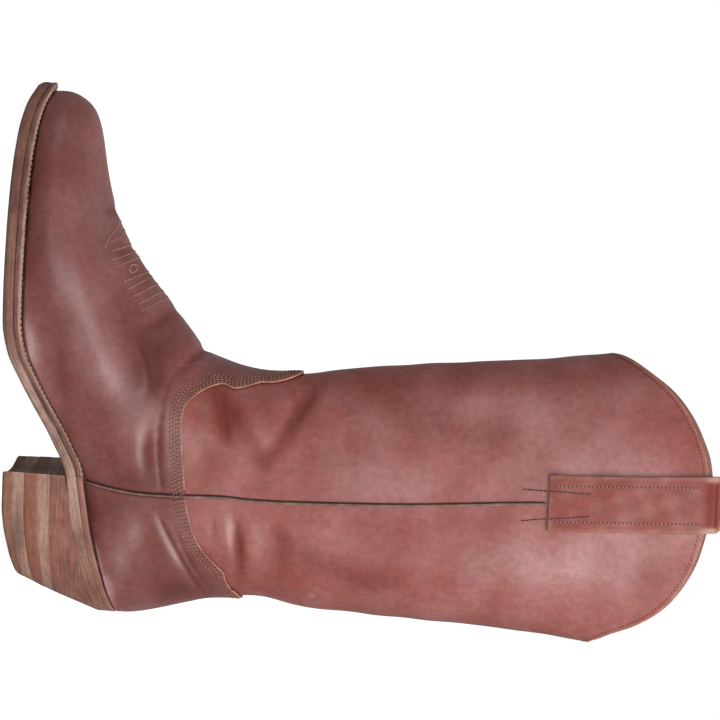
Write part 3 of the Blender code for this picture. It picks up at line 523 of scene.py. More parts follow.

# %% [markdown]
# ## Folds, as soft troughs and ridges
#
# Worn leather folds where the foot bends: across the ankle, at the throat and over the toes. Each fold
# is given as a short arc seen from the side: where it starts, where it passes and where it
# ends, in millimetres from the middle of the sole and from the floor. A depth below zero is a ridge.
# The inner side bends with the outer one, so it gets the same folds, a little shifted and softer.

# %% The folds and the leather's unevenness
# The columns are side (0 is both), y0, z0, y1, z1, y2, z2, width and depth.
FOLDS = (
    (1, 26, 88.2, 46, 87.0, 72, 90.0, 1.3, 0.9),
    (1, 6, 94.0, 16, 89.6, 30, 87.6, 1.5, 0.6),
    (1, 22, 92.5, 45, 91.0, 66, 94.0, 2.4, -0.4),
    (1, 38, 80.5, 50, 80.0, 62, 81.0, 3.4, 0.8),
    (1, 30, 76.0, 48, 75.0, 64, 77.0, 3.8, -0.45),
    (1, 85, 88.5, 102, 97.3, 131, 113.0, 1.5, 1.0),
    (1, 84, 84.0, 102, 92.5, 129, 108.5, 2.4, -0.6),
    (1, 92, 98.0, 108, 105.0, 126, 115.0, 1.6, 0.6),
    (1, 84, 130.0, 101, 132.2, 119, 134.0, 3.2, 1.3),
    (1, 83, 123.2, 96, 125.5, 110, 127.0, 3.4, -0.7),
    (1, 86, 139.5, 103, 141.5, 124, 143.0, 5.0, -0.8),
    (1, 83, 117.5, 90, 118.4, 97, 119.5, 1.8, 0.5),
    (1, 10, 171.0, 30, 158.5, 54, 144.0, 4.6, 1.7),
    (1, 17, 116.0, 34, 132.0, 54, 144.0, 4.6, 1.0),
    (1, 16, 117.0, 30, 120.5, 42, 124.5, 3.2, 1.5),
    (1, 20, 127.0, 33, 136.0, 45, 142.0, 6.0, -0.9),
    (1, 18, 110.0, 32, 112.0, 48, 116.0, 4.0, -0.7),
    (1, -8, 70.0, 5, 77.5, 17, 76.0, 2.2, -0.8),
    (1, -4, 77.0, 8, 82.5, 20, 80.5, 4.0, 1.0),
    (1, -30, 63.0, -4, 78.0, 16, 87.0, 7.0, 1.1),
    (1, 44, 178.0, 60, 200.0, 60, 245.0, 13.0, -1.1),
    (1, 98, 158.0, 113, 190.0, 114, 235.0, 9.0, 1.1),
    (1, 16, 205.0, 26, 250.0, 26, 300.0, 11.0, 1.0),
    (1, 92, 240.0, 100, 290.0, 100, 335.0, 12.0, -1.0),
    (1, 84, 150.0, 100, 156.0, 126, 152.0, 5.0, 0.9),
    (0, -76, 60.0, -77, 53.0, -79, 47.0, 3.0, 0.8),
    (0, -57, 68.0, -56, 61.0, -54, 55.0, 3.0, 0.8),
    (0, -23, 91.0, -20, 83.0, -15, 76.0, 3.4, 0.9),
    (0, -3, 109.0, 1, 101.0, 9, 94.0, 2.8, 1.3),
)
FOLD_STEPS = 25
INNER_SHIFT = (3.0, -4.0)
INNER_SHARE = 0.8
INNER_WIDENING = 1.2
FADE_START = 0.04
FADE_POWER = 0.7
RIPPLE_COUNT = 14
RIPPLE_LENGTHS = (26.0, 70.0)
RIPPLE_HEIGHT = 0.09


def press_fold(flat, moved, side, arc, width, depth):
    """Adds one arc's trough to the moves of the points near it. All are in millimetres."""
    reach = 3.5 * width
    near = np.abs(flat[:, 1] - arc[:, 0].mean()) < reach + np.ptp(arc[:, 0])
    near &= np.abs(flat[:, 2] - arc[:, 1].mean()) < reach + np.ptp(arc[:, 1])
    near = np.flatnonzero(near)
    away = (flat[near, 1:2] - arc[:, 0]) ** 2 + (flat[near, 2:3] - arc[:, 1]) ** 2
    closest = away.argmin(axis=1)
    run = FADE_START + (1 - 2 * FADE_START) * closest / (len(arc) - 1)
    fade = np.sin(math.pi * run) ** FADE_POWER
    on_side = 1.0 if side == 0 else smooth(-6, 6, side * flat[near, 0])
    moved[near] -= depth * np.exp(-away[np.arange(len(near)), closest] / width**2) * fade * on_side


def fold_moves(points):
    """How far each point moves out of the surface because of the folds, in metres."""
    flat = points.reshape(-1, 3) / MM
    moved = np.zeros(len(flat))
    t = np.linspace(0, 1, FOLD_STEPS)[:, None]
    for side, y0, z0, y1, z1, y2, z2, width, depth in FOLDS:
        ends = (1 - t) * (1 - 2 * t) * np.array([y0, z0]) + t * (2 * t - 1) * np.array([y2, z2])
        arc = ends + 4 * t * (1 - t) * np.array([y1, z1])
        press_fold(flat, moved, side, arc, width, depth)
        if side:
            inner_arc = arc + INNER_SHIFT
            press_fold(flat, moved, -side, inner_arc, width * INNER_WIDENING, depth * INNER_SHARE)
    return moved.reshape(points.shape[:-1]) * MM


def ripple(points):
    """Low waves of a few directions, so that no stretch of leather is perfectly even."""
    chance = np.random.default_rng(5)
    moved = np.zeros(points.shape[:-1])
    for _ in range(RIPPLE_COUNT):
        direction = chance.normal(size=3)
        direction /= np.linalg.norm(direction)
        length = chance.uniform(*RIPPLE_LENGTHS) * MM
        moved += np.sin(points @ direction * 2 * math.pi / length + chance.uniform(0, 2 * math.pi))
    return moved * RIPPLE_HEIGHT * MM


def leather_moves(level, turn):
    """The folds and ripples together. They die out towards the sole, where the last holds the leather."""
    points = surface(level, turn)
    held = smooth(0.02, 0.10, np.broadcast_to(level, points.shape[:-1]))
    return (fold_moves(points) + ripple(points)) * held


def lasted(level, turn, out=0.0):
    """A point of the leather: the last's surface, folded, and moved out by a thickness."""
    moves = leather_moves(level, turn) + out
    return surface(level, turn) + normals(level, turn) * moves[..., None]


# %% [markdown]
# ## Paths on the leather
#
# Seams, edges and stitch rows all run along the leather. A path is a row of (level, turn) pairs, so it
# always lies on the surface. Three small tools are enough: find the surface's point that a side view
# shows at a place, step a path sideways by a distance, and space its points evenly.

# %% Tools for paths
SEARCH_PASSES = 18


def on_side(y, z, side):
    """The path through these places of a side view, on the outer (1) or the inner (-1) side."""
    y, z = np.broadcast_arrays(np.asarray(y, float), np.asarray(z, float))
    level = np.full(y.shape, 0.6)
    turn = np.full(y.shape, 0.5 - side * 0.25)
    for _ in range(SEARCH_PASSES):
        here = surface(level, turn)
        by_level, by_turn = slopes(level, turn)
        miss_y = y - here[..., 1]
        miss_z = z - here[..., 2]
        area = by_level[..., 1] * by_turn[..., 2] - by_level[..., 2] * by_turn[..., 1]
        level_move = (miss_y * by_turn[..., 2] - miss_z * by_turn[..., 1]) / area
        turn_move = (by_level[..., 1] * miss_z - by_level[..., 2] * miss_y) / area
        level = np.clip(level + np.clip(level_move, -0.1, 0.1), 0.0, 0.999)
        turn = turn + np.clip(turn_move, -0.05, 0.05)
    return np.stack([level, turn], axis=-1)


def unit(vectors):
    """The vectors with length one."""
    return vectors / np.linalg.norm(vectors, axis=-1, keepdims=True)


def beside(path, distance):
    """The path stepped sideways over the surface by a distance: leftward of its run, seen from outside."""
    along = unit(np.gradient(surface(*path.T), axis=0))
    across = np.cross(normals(*path.T), along) * distance
    by_level, by_turn = slopes(*path.T)
    a = (by_level * by_level).sum(-1)
    b = (by_level * by_turn).sum(-1)
    c = (by_turn * by_turn).sum(-1)
    p = (by_level * across).sum(-1)
    q = (by_turn * across).sum(-1)
    return path + np.stack([p * c - q * b, q * a - p * b], axis=-1) / (a * c - b * b)[:, None]


def lengths(points):
    """Distance run at each of a row of points."""
    return np.concatenate([[0.0], np.linalg.norm(np.diff(points, axis=0), axis=1).cumsum()])


def evenly(path, spacing):
    """The path with its points this far apart."""
    run = lengths(surface(*path.T))
    wanted = np.linspace(0, run[-1], max(2, int(round(run[-1] / spacing)) + 1))
    return np.stack([np.interp(wanted, run, path[:, 0]), np.interp(wanted, run, path[:, 1])], axis=-1)


# %% [markdown]
# ## The seams and the panels' edges
#
# Three lines divide the upper. A side seam climbs each side from the heel to the pull strap. The vamp's
# top edge runs from that seam to the throat and up round a tongue on the instep. The counter's top edge
# climbs from the seam to the back.

# %% Tables of the seam and the edges
SEAM_COLUMNS = ("up", "before", "twisted")
SEAM = (
    (0.00, 1.000, 0.00),
    (0.06, 0.950, 0.00),
    (0.13, 0.935, 0.00),
    (0.22, 0.945, 0.00),
    (0.28, 0.930, 0.03),
    (0.48, 0.960, 0.33),
    (0.74, 1.040, 0.75),
    (1.00, 1.090, 1.00),
)
EDGE_COLUMNS = ("from_front", "up")
VAMP_EDGE = (
    (0.500, 0.716),
    (0.349, 0.703),
    (0.213, 0.690),
    (0.155, 0.692),
    (0.116, 0.704),
    (0.072, 0.752),
    (0.043, 0.808),
    (0.045, 0.845),
    (0.059, 0.880),
    (0.048, 0.930),
    (0.032, 0.978),
)
TONGUE_TIP_UP = 1.130
COUNTER_EDGE = (
    (0.526, 0.717),
    (0.638, 0.742),
    (0.759, 0.790),
    (0.848, 0.862),
    (0.880, 0.872),
    (0.948, 0.895),
)
COUNTER_BACK_UP = 0.925
PANEL_SLOT = 0.0026
VAMP_START_RISE = 0.0006
PATH_STEP = 0.0008
SEAM_STEPS = 90
EDGE_STEPS = 12
ARC_STEPS = 16
LEVEL_STEPS = 400
FOOT_HEIGHT = float(welt_top(BREAST_ALONG))


def seam_y(z, side):
    """Y of the outer (1) or inner (-1) side seam at a height."""
    up = (z - FOOT_HEIGHT) / (SIDE_HEIGHT - FOOT_HEIGHT)
    heights = column(SEAM, SEAM_COLUMNS, "up")
    before = monotone(up, heights, column(SEAM, SEAM_COLUMNS, "before")) * SHAFT_SETBACK
    twisted = monotone(up, heights, column(SEAM, SEAM_COLUMNS, "twisted"))
    carried = twisted * SHAFT_WIDTH * math.sin(SHAFT_TWIST) if side < 0 else 0.0
    return y_at(1.0) - before + carried


def seam_path(side, low, high, offset=0.0):
    """The side seam between two heights, moved towards the heel by an offset."""
    z = np.linspace(low, high, SEAM_STEPS)
    return on_side(seam_y(z, side) + offset, z, side)


def table_places(rows):
    """Y and Z of an edge's table, as a flowing curve."""
    centre = y_at(1.0) - SHAFT_SETBACK
    front = centre - SHAFT_RINGS[0][SHAFT_COLUMNS.index("front")] * SHAFT_DEPTH
    back = centre + SHAFT_RINGS[0][SHAFT_COLUMNS.index("back")] * SHAFT_DEPTH
    marks = np.arange(len(rows), dtype=float)
    fine = np.linspace(0, marks[-1], EDGE_STEPS * (len(rows) - 1) + 1)
    weights = spline_weights(fine, marks, spline_bends(marks))
    y = front + weights @ column(rows, EDGE_COLUMNS, "from_front") * (back - front)
    return y, weights @ column(rows, EDGE_COLUMNS, "up") * INSTEP_HEIGHT


def rounded_end(path, level, turn):
    """Carries a path on to a place of the front or the back, by a quarter of an ellipse."""
    angle = np.linspace(0, math.pi / 2, ARC_STEPS)[1:]
    last = path[-1]
    end_level = last[0] + (level - last[0]) * np.sin(angle)
    end_turn = turn + (last[1] - turn) * np.cos(angle)
    return np.concatenate([path, np.stack([end_level, end_turn], axis=-1)])


def level_at_height(turn, z):
    """The level at which the surface's line at this turn reaches a height."""
    levels = np.linspace(0, 1, LEVEL_STEPS)
    return float(np.interp(z, surface(levels, turn)[:, 2], levels))


def vamp_edge(side):
    """The vamp's top edge from the side seam to the tongue's tip."""
    y, z = table_places(VAMP_EDGE)
    start = seam_y(z[0], side) - PANEL_SLOT / 2
    y = np.concatenate([[start], y])
    z = np.concatenate([[z[0] + VAMP_START_RISE], z])
    tip = level_at_height(0.0, TONGUE_TIP_UP * INSTEP_HEIGHT)
    return evenly(rounded_end(on_side(y, z, side), tip, 0.0 if side > 0 else 1.0), PATH_STEP)


def counter_edge(side):
    """The counter's top edge from the side seam to the middle of the back."""
    y, z = table_places(COUNTER_EDGE)
    start = seam_y(z[0], side) + PANEL_SLOT / 2
    y = np.concatenate([[start], y])
    z = np.concatenate([[z[0]], z])
    back = level_at_height(0.5, COUNTER_BACK_UP * INSTEP_HEIGHT)
    return evenly(rounded_end(on_side(y, z, side), back, 0.5), PATH_STEP)


VAMP_EDGES = {side: vamp_edge(side) for side in (1, -1)}
COUNTER_EDGES = {side: counter_edge(side) for side in (1, -1)}
for side, word in ((1, "outer"), (-1, "inner")):
    run = lengths(surface(*VAMP_EDGES[side].T))[-1]
    print(word, "vamp edge:", round(run / MM, 1), "mm")

# %% [markdown]
# ## Making a piece
#
# Most pieces here are sheets or rolled bands. Each starts as a flat grid, and every point of the grid is
# then moved to its place, the way a cut piece of leather is pulled over the last. The grid's two
# directions, u and v, run from 0 to 1. Numbers that a finish needs, such as how deep a fold is, are
# stored on the points as attributes.

# %% From a grid to a piece
def add_piece(name, bm, looks, smooth_angle=40):
    """Adds a mesh as a piece that rides on the boot's body."""
    mesh = bpy.data.meshes.new(name)
    bm.to_mesh(mesh)
    bm.free()
    for look in looks:
        mesh.materials.append(look)
    mesh.shade_smooth()
    mesh.set_sharp_from_angle(angle=math.radians(smooth_angle))
    piece = bpy.data.objects.new(name, mesh)
    bpy.context.scene.collection.objects.link(piece)
    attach(piece, "root")
    return piece


def mapped(place, columns, rows, marks=None, solid=True):
    """A grid whose points are moved to place(u, v). marks(u, v) gives the numbers stored on them."""
    bm = bmesh.new()
    bmesh.ops.create_grid(bm, x_segments=columns, y_segments=rows, size=0.5)
    uv = np.array([vert.co[:2] for vert in bm.verts]) + 0.5
    points = place(uv[:, 0], uv[:, 1])
    stored = marks(uv[:, 0], uv[:, 1]) if marks else {}
    layers = {key: bm.verts.layers.float.new(key) for key in stored}
    for index, vert in enumerate(bm.verts):
        vert.co = points[index]
        for key, layer in layers.items():
            vert[layer] = float(stored[key][index])
    bmesh.ops.remove_doubles(bm, verts=bm.verts, dist=1e-6)
    if solid:
        bmesh.ops.holes_fill(bm, edges=[edge for edge in bm.edges if edge.is_boundary], sides=0)
        bmesh.ops.recalc_face_normals(bm, faces=bm.faces)
    return bm


def bead(path, out, half_across, height, around=8):
    """A rounded cord laid along a path on the leather, with both ends drawn to a point."""
    centre = lasted(*path.T, out)
    outward = normals(*path.T)
    across = np.cross(outward, unit(np.gradient(centre, axis=0)))
    run = np.linspace(0, 1, len(path))

    def place(u, v):
        swell = np.clip(np.minimum(v, 1 - v) * (len(path) - 1) / 1.5, 0, 1) ** 0.5
        angle = 2 * math.pi * u
        middle = np.stack([np.interp(v, run, centre[:, i]) for i in range(3)], axis=-1)
        side = np.stack([np.interp(v, run, across[:, i]) for i in range(3)], axis=-1)
        lift = np.stack([np.interp(v, run, outward[:, i]) for i in range(3)], axis=-1)
        sideways = (np.cos(angle) * half_across * swell)[:, None]
        upwards = (np.sin(angle) * height * swell)[:, None]
        return middle + side * sideways + lift * upwards

    return mapped(place, around, len(path) - 1)


def join(parts):
    """Several bmeshes as one."""
    whole = bmesh.new()
    for part in parts:
        holder = bpy.data.meshes.new("part of a piece")
        part.to_mesh(holder)
        part.free()
        whole.from_mesh(holder)
        bpy.data.meshes.remove(holder)
    return whole


def stitches(bm, path, out, spacing, radius, fill=0.72):
    """A row of short rounded stitches along a path. It returns their count."""
    path = evenly(path, spacing)
    points = lasted(*path.T, out)
    middle = (points[1:] + points[:-1]) / 2
    along = points[1:] - points[:-1]
    outward = unit(normals(*path.T)[1:] + normals(*path.T)[:-1])
    for centre, run, up in zip(middle, along, outward):
        length = np.linalg.norm(run)
        forward = Vector(run / length)
        left = Vector(up).cross(forward).normalized()
        raised = forward.cross(left)
        turned = Matrix((forward, left, raised)).transposed().to_4x4()
        scaled = Matrix.Diagonal((length * fill / 2, radius, radius, 1.0))
        place = Matrix.Translation(Vector(centre)) @ turned @ scaled
        bmesh.ops.create_icosphere(bm, subdivisions=1, radius=1.0, matrix=place)
    return len(middle)

# %% [markdown]
# ## Finishes
#
# All the leather shares one worn finish: a dyed colour that darkens where it was handled, painted shade
# in the hollows of the folds, a dusty bloom on the crests, pale spots that are partly painted highlights,
# dark spots that are partly painted shade, fine pores and short scratches. It is a node group, built once,
# so that every leather of the boot can use it with its own colours. Hollows and dark places lose their
# polish, so the coat's weight comes from the group too. The cut edges of the sole and the heel share a
# second group, with the fine layers, stains and warm streaks of stacked leather.

# %% Tools for node trees
def add_node(tree, kind, inputs=None, **settings):
    """A node with its settings, and with some of its inputs set or linked."""
    made = tree.nodes.new(kind)
    for key, value in settings.items():
        setattr(made, key, value)
    for key, value in (inputs or {}).items():
        if isinstance(value, bpy.types.NodeSocket):
            tree.links.new(value, made.inputs[key])
        else:
            made.inputs[key].default_value = value
    return made


def math_node(tree, operation, first, second=0.0, clamp=False):
    """One operation on two numbers or sockets, such as a product."""
    inputs = {0: first, 1: second}
    return add_node(tree, "ShaderNodeMath", inputs, operation=operation, use_clamp=clamp).outputs[0]


def blend_colour(tree, share, first, second):
    """Mixes two colours by a share."""
    made = add_node(tree, "ShaderNodeMix", {"Factor": share}, data_type="RGBA")
    for socket, value in ((made.inputs[6], first), (made.inputs[7], second)):
        if isinstance(value, bpy.types.NodeSocket):
            tree.links.new(value, socket)
        else:
            socket.default_value = value
    return made.outputs[2]


def noise(tree, coordinates, scale, detail=4.0, roughness=0.55, stretch=None):
    """Noise over a piece, from 0 to 1, stretched along an axis where stretch says so."""
    if stretch:
        inputs = {"Vector": coordinates, "Scale": stretch}
        coordinates = add_node(tree, "ShaderNodeMapping", inputs).outputs[0]
    inputs = {"Vector": coordinates, "Scale": scale, "Detail": detail, "Roughness": roughness}
    return add_node(tree, "ShaderNodeTexNoise", inputs).outputs["Fac"]


def remap(tree, value, low, high, to_low=0.0, to_high=1.0):
    """A number moved from one range to another, and held inside it."""
    inputs = {"Value": value, "From Min": low, "From Max": high, "To Min": to_low, "To Max": to_high}
    return add_node(tree, "ShaderNodeMapRange", inputs, clamp=True).outputs[0]


def stored_number(tree, name):
    """A number that was stored on the piece's points."""
    return add_node(tree, "ShaderNodeAttribute", attribute_name=name).outputs["Fac"]


def new_group(name, inputs, outputs):
    """An empty node group with named sockets. It returns the tree, its input node and its output node."""
    tree = bpy.data.node_groups.new(name, "ShaderNodeTree")
    for label, kind, value in inputs:
        socket = tree.interface.new_socket(label, in_out="INPUT", socket_type=kind)
        socket.default_value = value
    for label, kind in outputs:
        tree.interface.new_socket(label, in_out="OUTPUT", socket_type=kind)
    return tree, tree.nodes.new("NodeGroupInput"), tree.nodes.new("NodeGroupOutput")


# %% The worn leather group
WHITE = (1.0, 1.0, 1.0, 1.0)


def worn_leather_group():
    """Colour, roughness and bump of dyed leather that has been worn, with painted shade in its hollows and
    painted highlights and shade from the tone.
    """
    inputs = (
        ("Colour", "NodeSocketColor", WHITE),
        ("Dark", "NodeSocketColor", WHITE),
        ("Dust and Sheen", "NodeSocketColor", WHITE),
        ("Warm", "NodeSocketColor", WHITE),
        ("Dust Amount", "NodeSocketFloat", 0.4),
        ("Gloss Roughness", "NodeSocketFloat", 0.36),
        ("Polish", "NodeSocketFloat", 0.4),
    )
    outputs = (
        ("Colour", "NodeSocketColor"),
        ("Roughness", "NodeSocketFloat"),
        ("Polish", "NodeSocketFloat"),
        ("Normal", "NodeSocketVector"),
    )
    tree, given, result = new_group("worn leather", inputs, outputs)
    place = add_node(tree, "ShaderNodeTexCoord").outputs["Object"]
    clouds = noise(tree, place, 18.0, 5.0)
    blotches = noise(tree, place, 55.0, 6.0, 0.62)
    mottle = noise(tree, place, 260.0, 4.0, 0.6)
    hollow = stored_number(tree, "hollow")
    crest = stored_number(tree, "crest")
    tone = stored_number(tree, "tone")

    # Darkness and shade: clouds of uneven dye, painted shade in the folds' hollows, and the tone's dark
    # spots, which are partly painted shade.
    darkness_and_shade = math_node(tree, "MULTIPLY", remap(tree, clouds, 0.42, 0.70), 0.35)
    darkness_and_shade = math_node(tree, "ADD", darkness_and_shade, math_node(tree, "MULTIPLY", hollow, 0.6))
    darkness_and_shade = math_node(tree, "SUBTRACT", darkness_and_shade, math_node(tree, "MINIMUM", tone, 0.0), clamp=True)
    warmth = math_node(tree, "MULTIPLY", remap(tree, blotches, 0.50, 0.68), 0.4)
    # Dust and sheen: dust in blotches and on crests, and the tone's pale spots, which are partly painted
    # highlights and sheen.
    dust_and_sheen = math_node(tree, "MULTIPLY", remap(tree, blotches, 0.66, 0.34), given.outputs["Dust Amount"])
    dust_and_sheen = math_node(tree, "ADD", dust_and_sheen, math_node(tree, "MULTIPLY", crest, 0.35))
    dust_and_sheen = math_node(tree, "ADD", dust_and_sheen, math_node(tree, "MAXIMUM", tone, 0.0), clamp=True)
    grit = remap(tree, mottle, 0.35, 0.65, 0.86, 1.12)

    colour = blend_colour(tree, warmth, given.outputs["Colour"], given.outputs["Warm"])
    colour = blend_colour(tree, dust_and_sheen, colour, given.outputs["Dust and Sheen"])
    colour = blend_colour(tree, darkness_and_shade, colour, given.outputs["Dark"])
    shaded = add_node(tree, "ShaderNodeVectorMath", {0: colour, "Scale": grit}, operation="SCALE").outputs[0]

    scratch = noise(tree, place, 95.0, 2.0, 0.5, stretch=(1.0, 6.0, 0.7))
    scratches = remap(tree, scratch, 0.68, 0.74)
    scuffed = blend_colour(tree, math_node(tree, "MULTIPLY", scratches, 0.18), shaded, given.outputs["Dust and Sheen"])

    uneven = remap(tree, blotches, 0.3, 0.7, -0.06, 0.12)
    roughness = math_node(tree, "ADD", given.outputs["Gloss Roughness"], uneven)
    roughness = math_node(tree, "ADD", roughness, math_node(tree, "MULTIPLY", dust_and_sheen, 0.14))
    roughness = math_node(tree, "ADD", roughness, math_node(tree, "MULTIPLY", hollow, 0.25), clamp=True)
    polish = math_node(tree, "SUBTRACT", 1.0, math_node(tree, "MAXIMUM", hollow, darkness_and_shade))
    polish = math_node(tree, "MULTIPLY", polish, given.outputs["Polish"])

    pores = add_node(tree, "ShaderNodeTexVoronoi", {"Vector": place, "Scale": 900.0}).outputs["Distance"]
    fine = noise(tree, place, 420.0, 5.0, 0.7)
    height = math_node(tree, "ADD", math_node(tree, "MULTIPLY", pores, 0.35), fine)
    height = math_node(tree, "SUBTRACT", height, math_node(tree, "MULTIPLY", scratches, 0.3))
    bump = add_node(tree, "ShaderNodeBump", {"Height": height, "Strength": 0.22, "Distance": 0.0004})

    tree.links.new(scuffed, result.inputs["Colour"])
    tree.links.new(roughness, result.inputs["Roughness"])
    tree.links.new(polish, result.inputs["Polish"])
    tree.links.new(bump.outputs[0], result.inputs["Normal"])
    return tree


WORN_LEATHER = worn_leather_group()


COAT_ROUGHNESS = 0.3


def from_group(name, group, values):
    """A material whose colour, roughness and bump come from a group, and its polish if it has any."""
    made = bpy.data.materials.new(name)
    made.use_nodes = True
    tree = made.node_tree
    shader = tree.nodes["Principled BSDF"]
    finish = tree.nodes.new("ShaderNodeGroup")
    finish.node_tree = group
    for key, value in values.items():
        finish.inputs[key].default_value = (*value, 1.0) if isinstance(value, tuple) else value
    tree.links.new(finish.outputs["Colour"], shader.inputs["Base Color"])
    tree.links.new(finish.outputs["Roughness"], shader.inputs["Roughness"])
    tree.links.new(finish.outputs["Normal"], shader.inputs["Normal"])
    if values.get("Polish"):
        tree.links.new(finish.outputs["Polish"], shader.inputs["Coat Weight"])
        shader.inputs["Coat Roughness"].default_value = COAT_ROUGHNESS
    return made


vamp_look = from_group("vamp leather", WORN_LEATHER, {
    "Colour": (0.195, 0.046, 0.038),
    "Dark": (0.100, 0.016, 0.010),
    "Dust and Sheen": (0.330, 0.175, 0.170),
    "Warm": (0.215, 0.040, 0.026),
    "Dust Amount": 0.22,
    "Gloss Roughness": 0.37,
    "Polish": 0.40,
})
shaft_look = from_group("shaft leather", WORN_LEATHER, {
    "Colour": (0.275, 0.058, 0.046),
    "Dark": (0.160, 0.024, 0.013),
    "Dust and Sheen": (0.400, 0.200, 0.190),
    "Warm": (0.290, 0.050, 0.030),
    "Dust Amount": 0.22,
    "Gloss Roughness": 0.37,
    "Polish": 0.38,
})
strap_look = from_group("strap leather", WORN_LEATHER, {
    "Colour": (0.215, 0.038, 0.026),
    "Dark": (0.175, 0.010, 0.004),
    "Dust and Sheen": (0.440, 0.230, 0.170),
    "Warm": (0.240, 0.034, 0.016),
    "Dust Amount": 0.06,
    "Gloss Roughness": 0.42,
    "Polish": 0.20,
})
lining_look = from_group("lining leather", WORN_LEATHER, {
    "Colour": (0.210, 0.130, 0.095),
    "Dark": (0.100, 0.056, 0.040),
    "Dust and Sheen": (0.330, 0.230, 0.170),
    "Warm": (0.220, 0.120, 0.075),
    "Dust Amount": 0.3,
    "Gloss Roughness": 0.62,
    "Polish": 0.0,
})

# %% The cut leather group, for soles, welt and heel
def cut_leather_group():
    """The edge of stacked or plain sole leather: fine layers and warm streaks along the run, and stains."""
    inputs = (
        ("Colour", "NodeSocketColor", WHITE),
        ("Dark", "NodeSocketColor", WHITE),
        ("Pale", "NodeSocketColor", WHITE),
        ("Warm", "NodeSocketColor", WHITE),
        ("Pale Amount", "NodeSocketFloat", 0.5),
        ("Warm Amount", "NodeSocketFloat", 0.4),
        ("Gloss Roughness", "NodeSocketFloat", 0.55),
    )
    outputs = (
        ("Colour", "NodeSocketColor"),
        ("Roughness", "NodeSocketFloat"),
        ("Normal", "NodeSocketVector"),
    )
    tree, given, result = new_group("cut leather", inputs, outputs)
    place = add_node(tree, "ShaderNodeTexCoord").outputs["Object"]
    run = stored_number(tree, "run")
    rise = stored_number(tree, "rise")
    edge = add_node(tree, "ShaderNodeCombineXYZ", {0: run, 1: rise}).outputs[0]
    layers = noise(tree, edge, 1.0, 5.0, 0.6, stretch=(55.0, 1500.0, 1.0))
    streaks = noise(tree, edge, 1.0, 4.0, 0.6, stretch=(24.0, 520.0, 1.0))
    stains = noise(tree, place, 42.0, 5.0, 0.6)
    fibres = noise(tree, place, 330.0, 4.0, 0.65)
    arris = stored_number(tree, "arris")
    soil = stored_number(tree, "soil")

    pale = math_node(tree, "MULTIPLY", remap(tree, stains, 0.42, 0.64), given.outputs["Pale Amount"])
    pale = math_node(tree, "ADD", pale, math_node(tree, "MULTIPLY", arris, 0.9), clamp=True)
    warm = math_node(tree, "MULTIPLY", remap(tree, streaks, 0.46, 0.60), given.outputs["Warm Amount"])
    colour = blend_colour(tree, pale, given.outputs["Colour"], given.outputs["Pale"])
    colour = blend_colour(tree, warm, colour, given.outputs["Warm"])
    dark = math_node(tree, "MULTIPLY", remap(tree, layers, 0.50, 0.66), 0.75)
    dark = math_node(tree, "ADD", dark, math_node(tree, "MULTIPLY", remap(tree, stains, 0.48, 0.30), 0.35))
    dark = math_node(tree, "ADD", dark, soil, clamp=True)
    colour = blend_colour(tree, dark, colour, given.outputs["Dark"])
    grit = remap(tree, fibres, 0.3, 0.7, 0.82, 1.16)
    shaded = add_node(tree, "ShaderNodeVectorMath", {0: colour, "Scale": grit}, operation="SCALE").outputs[0]

    uneven = remap(tree, fibres, 0.3, 0.7, -0.08, 0.1)
    roughness = math_node(tree, "ADD", given.outputs["Gloss Roughness"], uneven)
    fuzz = math_node(tree, "MULTIPLY", fibres, 0.5)
    height = math_node(tree, "ADD", math_node(tree, "MULTIPLY", layers, 0.7), fuzz)
    bump = add_node(tree, "ShaderNodeBump", {"Height": height, "Strength": 0.35, "Distance": 0.0005})
    tree.links.new(shaded, result.inputs["Colour"])
    tree.links.new(roughness, result.inputs["Roughness"])
    tree.links.new(bump.outputs[0], result.inputs["Normal"])
    return tree


CUT_LEATHER = cut_leather_group()


RUSSET = (0.290, 0.095, 0.055)


def cut_look(name, colours, pale_amount, warm_amount=0.4, gloss=0.55):
    """A cut edge from its plain, dark and pale colours. The warm streaks are russet on all."""
    colour, dark, pale = colours
    return from_group(name, CUT_LEATHER, {
        "Colour": colour,
        "Dark": dark,
        "Pale": pale,
        "Warm": RUSSET,
        "Pale Amount": pale_amount,
        "Warm Amount": warm_amount,
        "Gloss Roughness": gloss,
    })


OUTSOLE_TINTS = ((0.205, 0.080, 0.056), (0.075, 0.028, 0.020), (0.460, 0.290, 0.230))
WELT_TINTS = ((0.190, 0.076, 0.052), (0.050, 0.020, 0.015), (0.560, 0.370, 0.260))
TAN_TINTS = ((0.350, 0.185, 0.136), (0.120, 0.062, 0.048), (0.520, 0.340, 0.270))
RED_TINTS = ((0.270, 0.088, 0.050), (0.110, 0.036, 0.022), (0.360, 0.160, 0.105))
ROSE_TINTS = ((0.260, 0.098, 0.070), (0.095, 0.038, 0.029), (0.430, 0.240, 0.185))
TREAD_TINTS = ((0.270, 0.112, 0.066), (0.100, 0.044, 0.030), (0.360, 0.190, 0.130))
outsole_look = cut_look("outsole leather", OUTSOLE_TINTS, 0.25)
welt_look = cut_look("welt leather", WELT_TINTS, 0.15, 0.3)
heel_tan = cut_look("heel lift leather", TAN_TINTS, 0.5, 0.25)
heel_red = cut_look("red heel lift leather", RED_TINTS, 0.4)
heel_rose = cut_look("heel wedge leather", ROSE_TINTS, 0.4, 0.6)
tread_look = cut_look("top lift leather", TREAD_TINTS, 0.35, 0.4, 0.6)


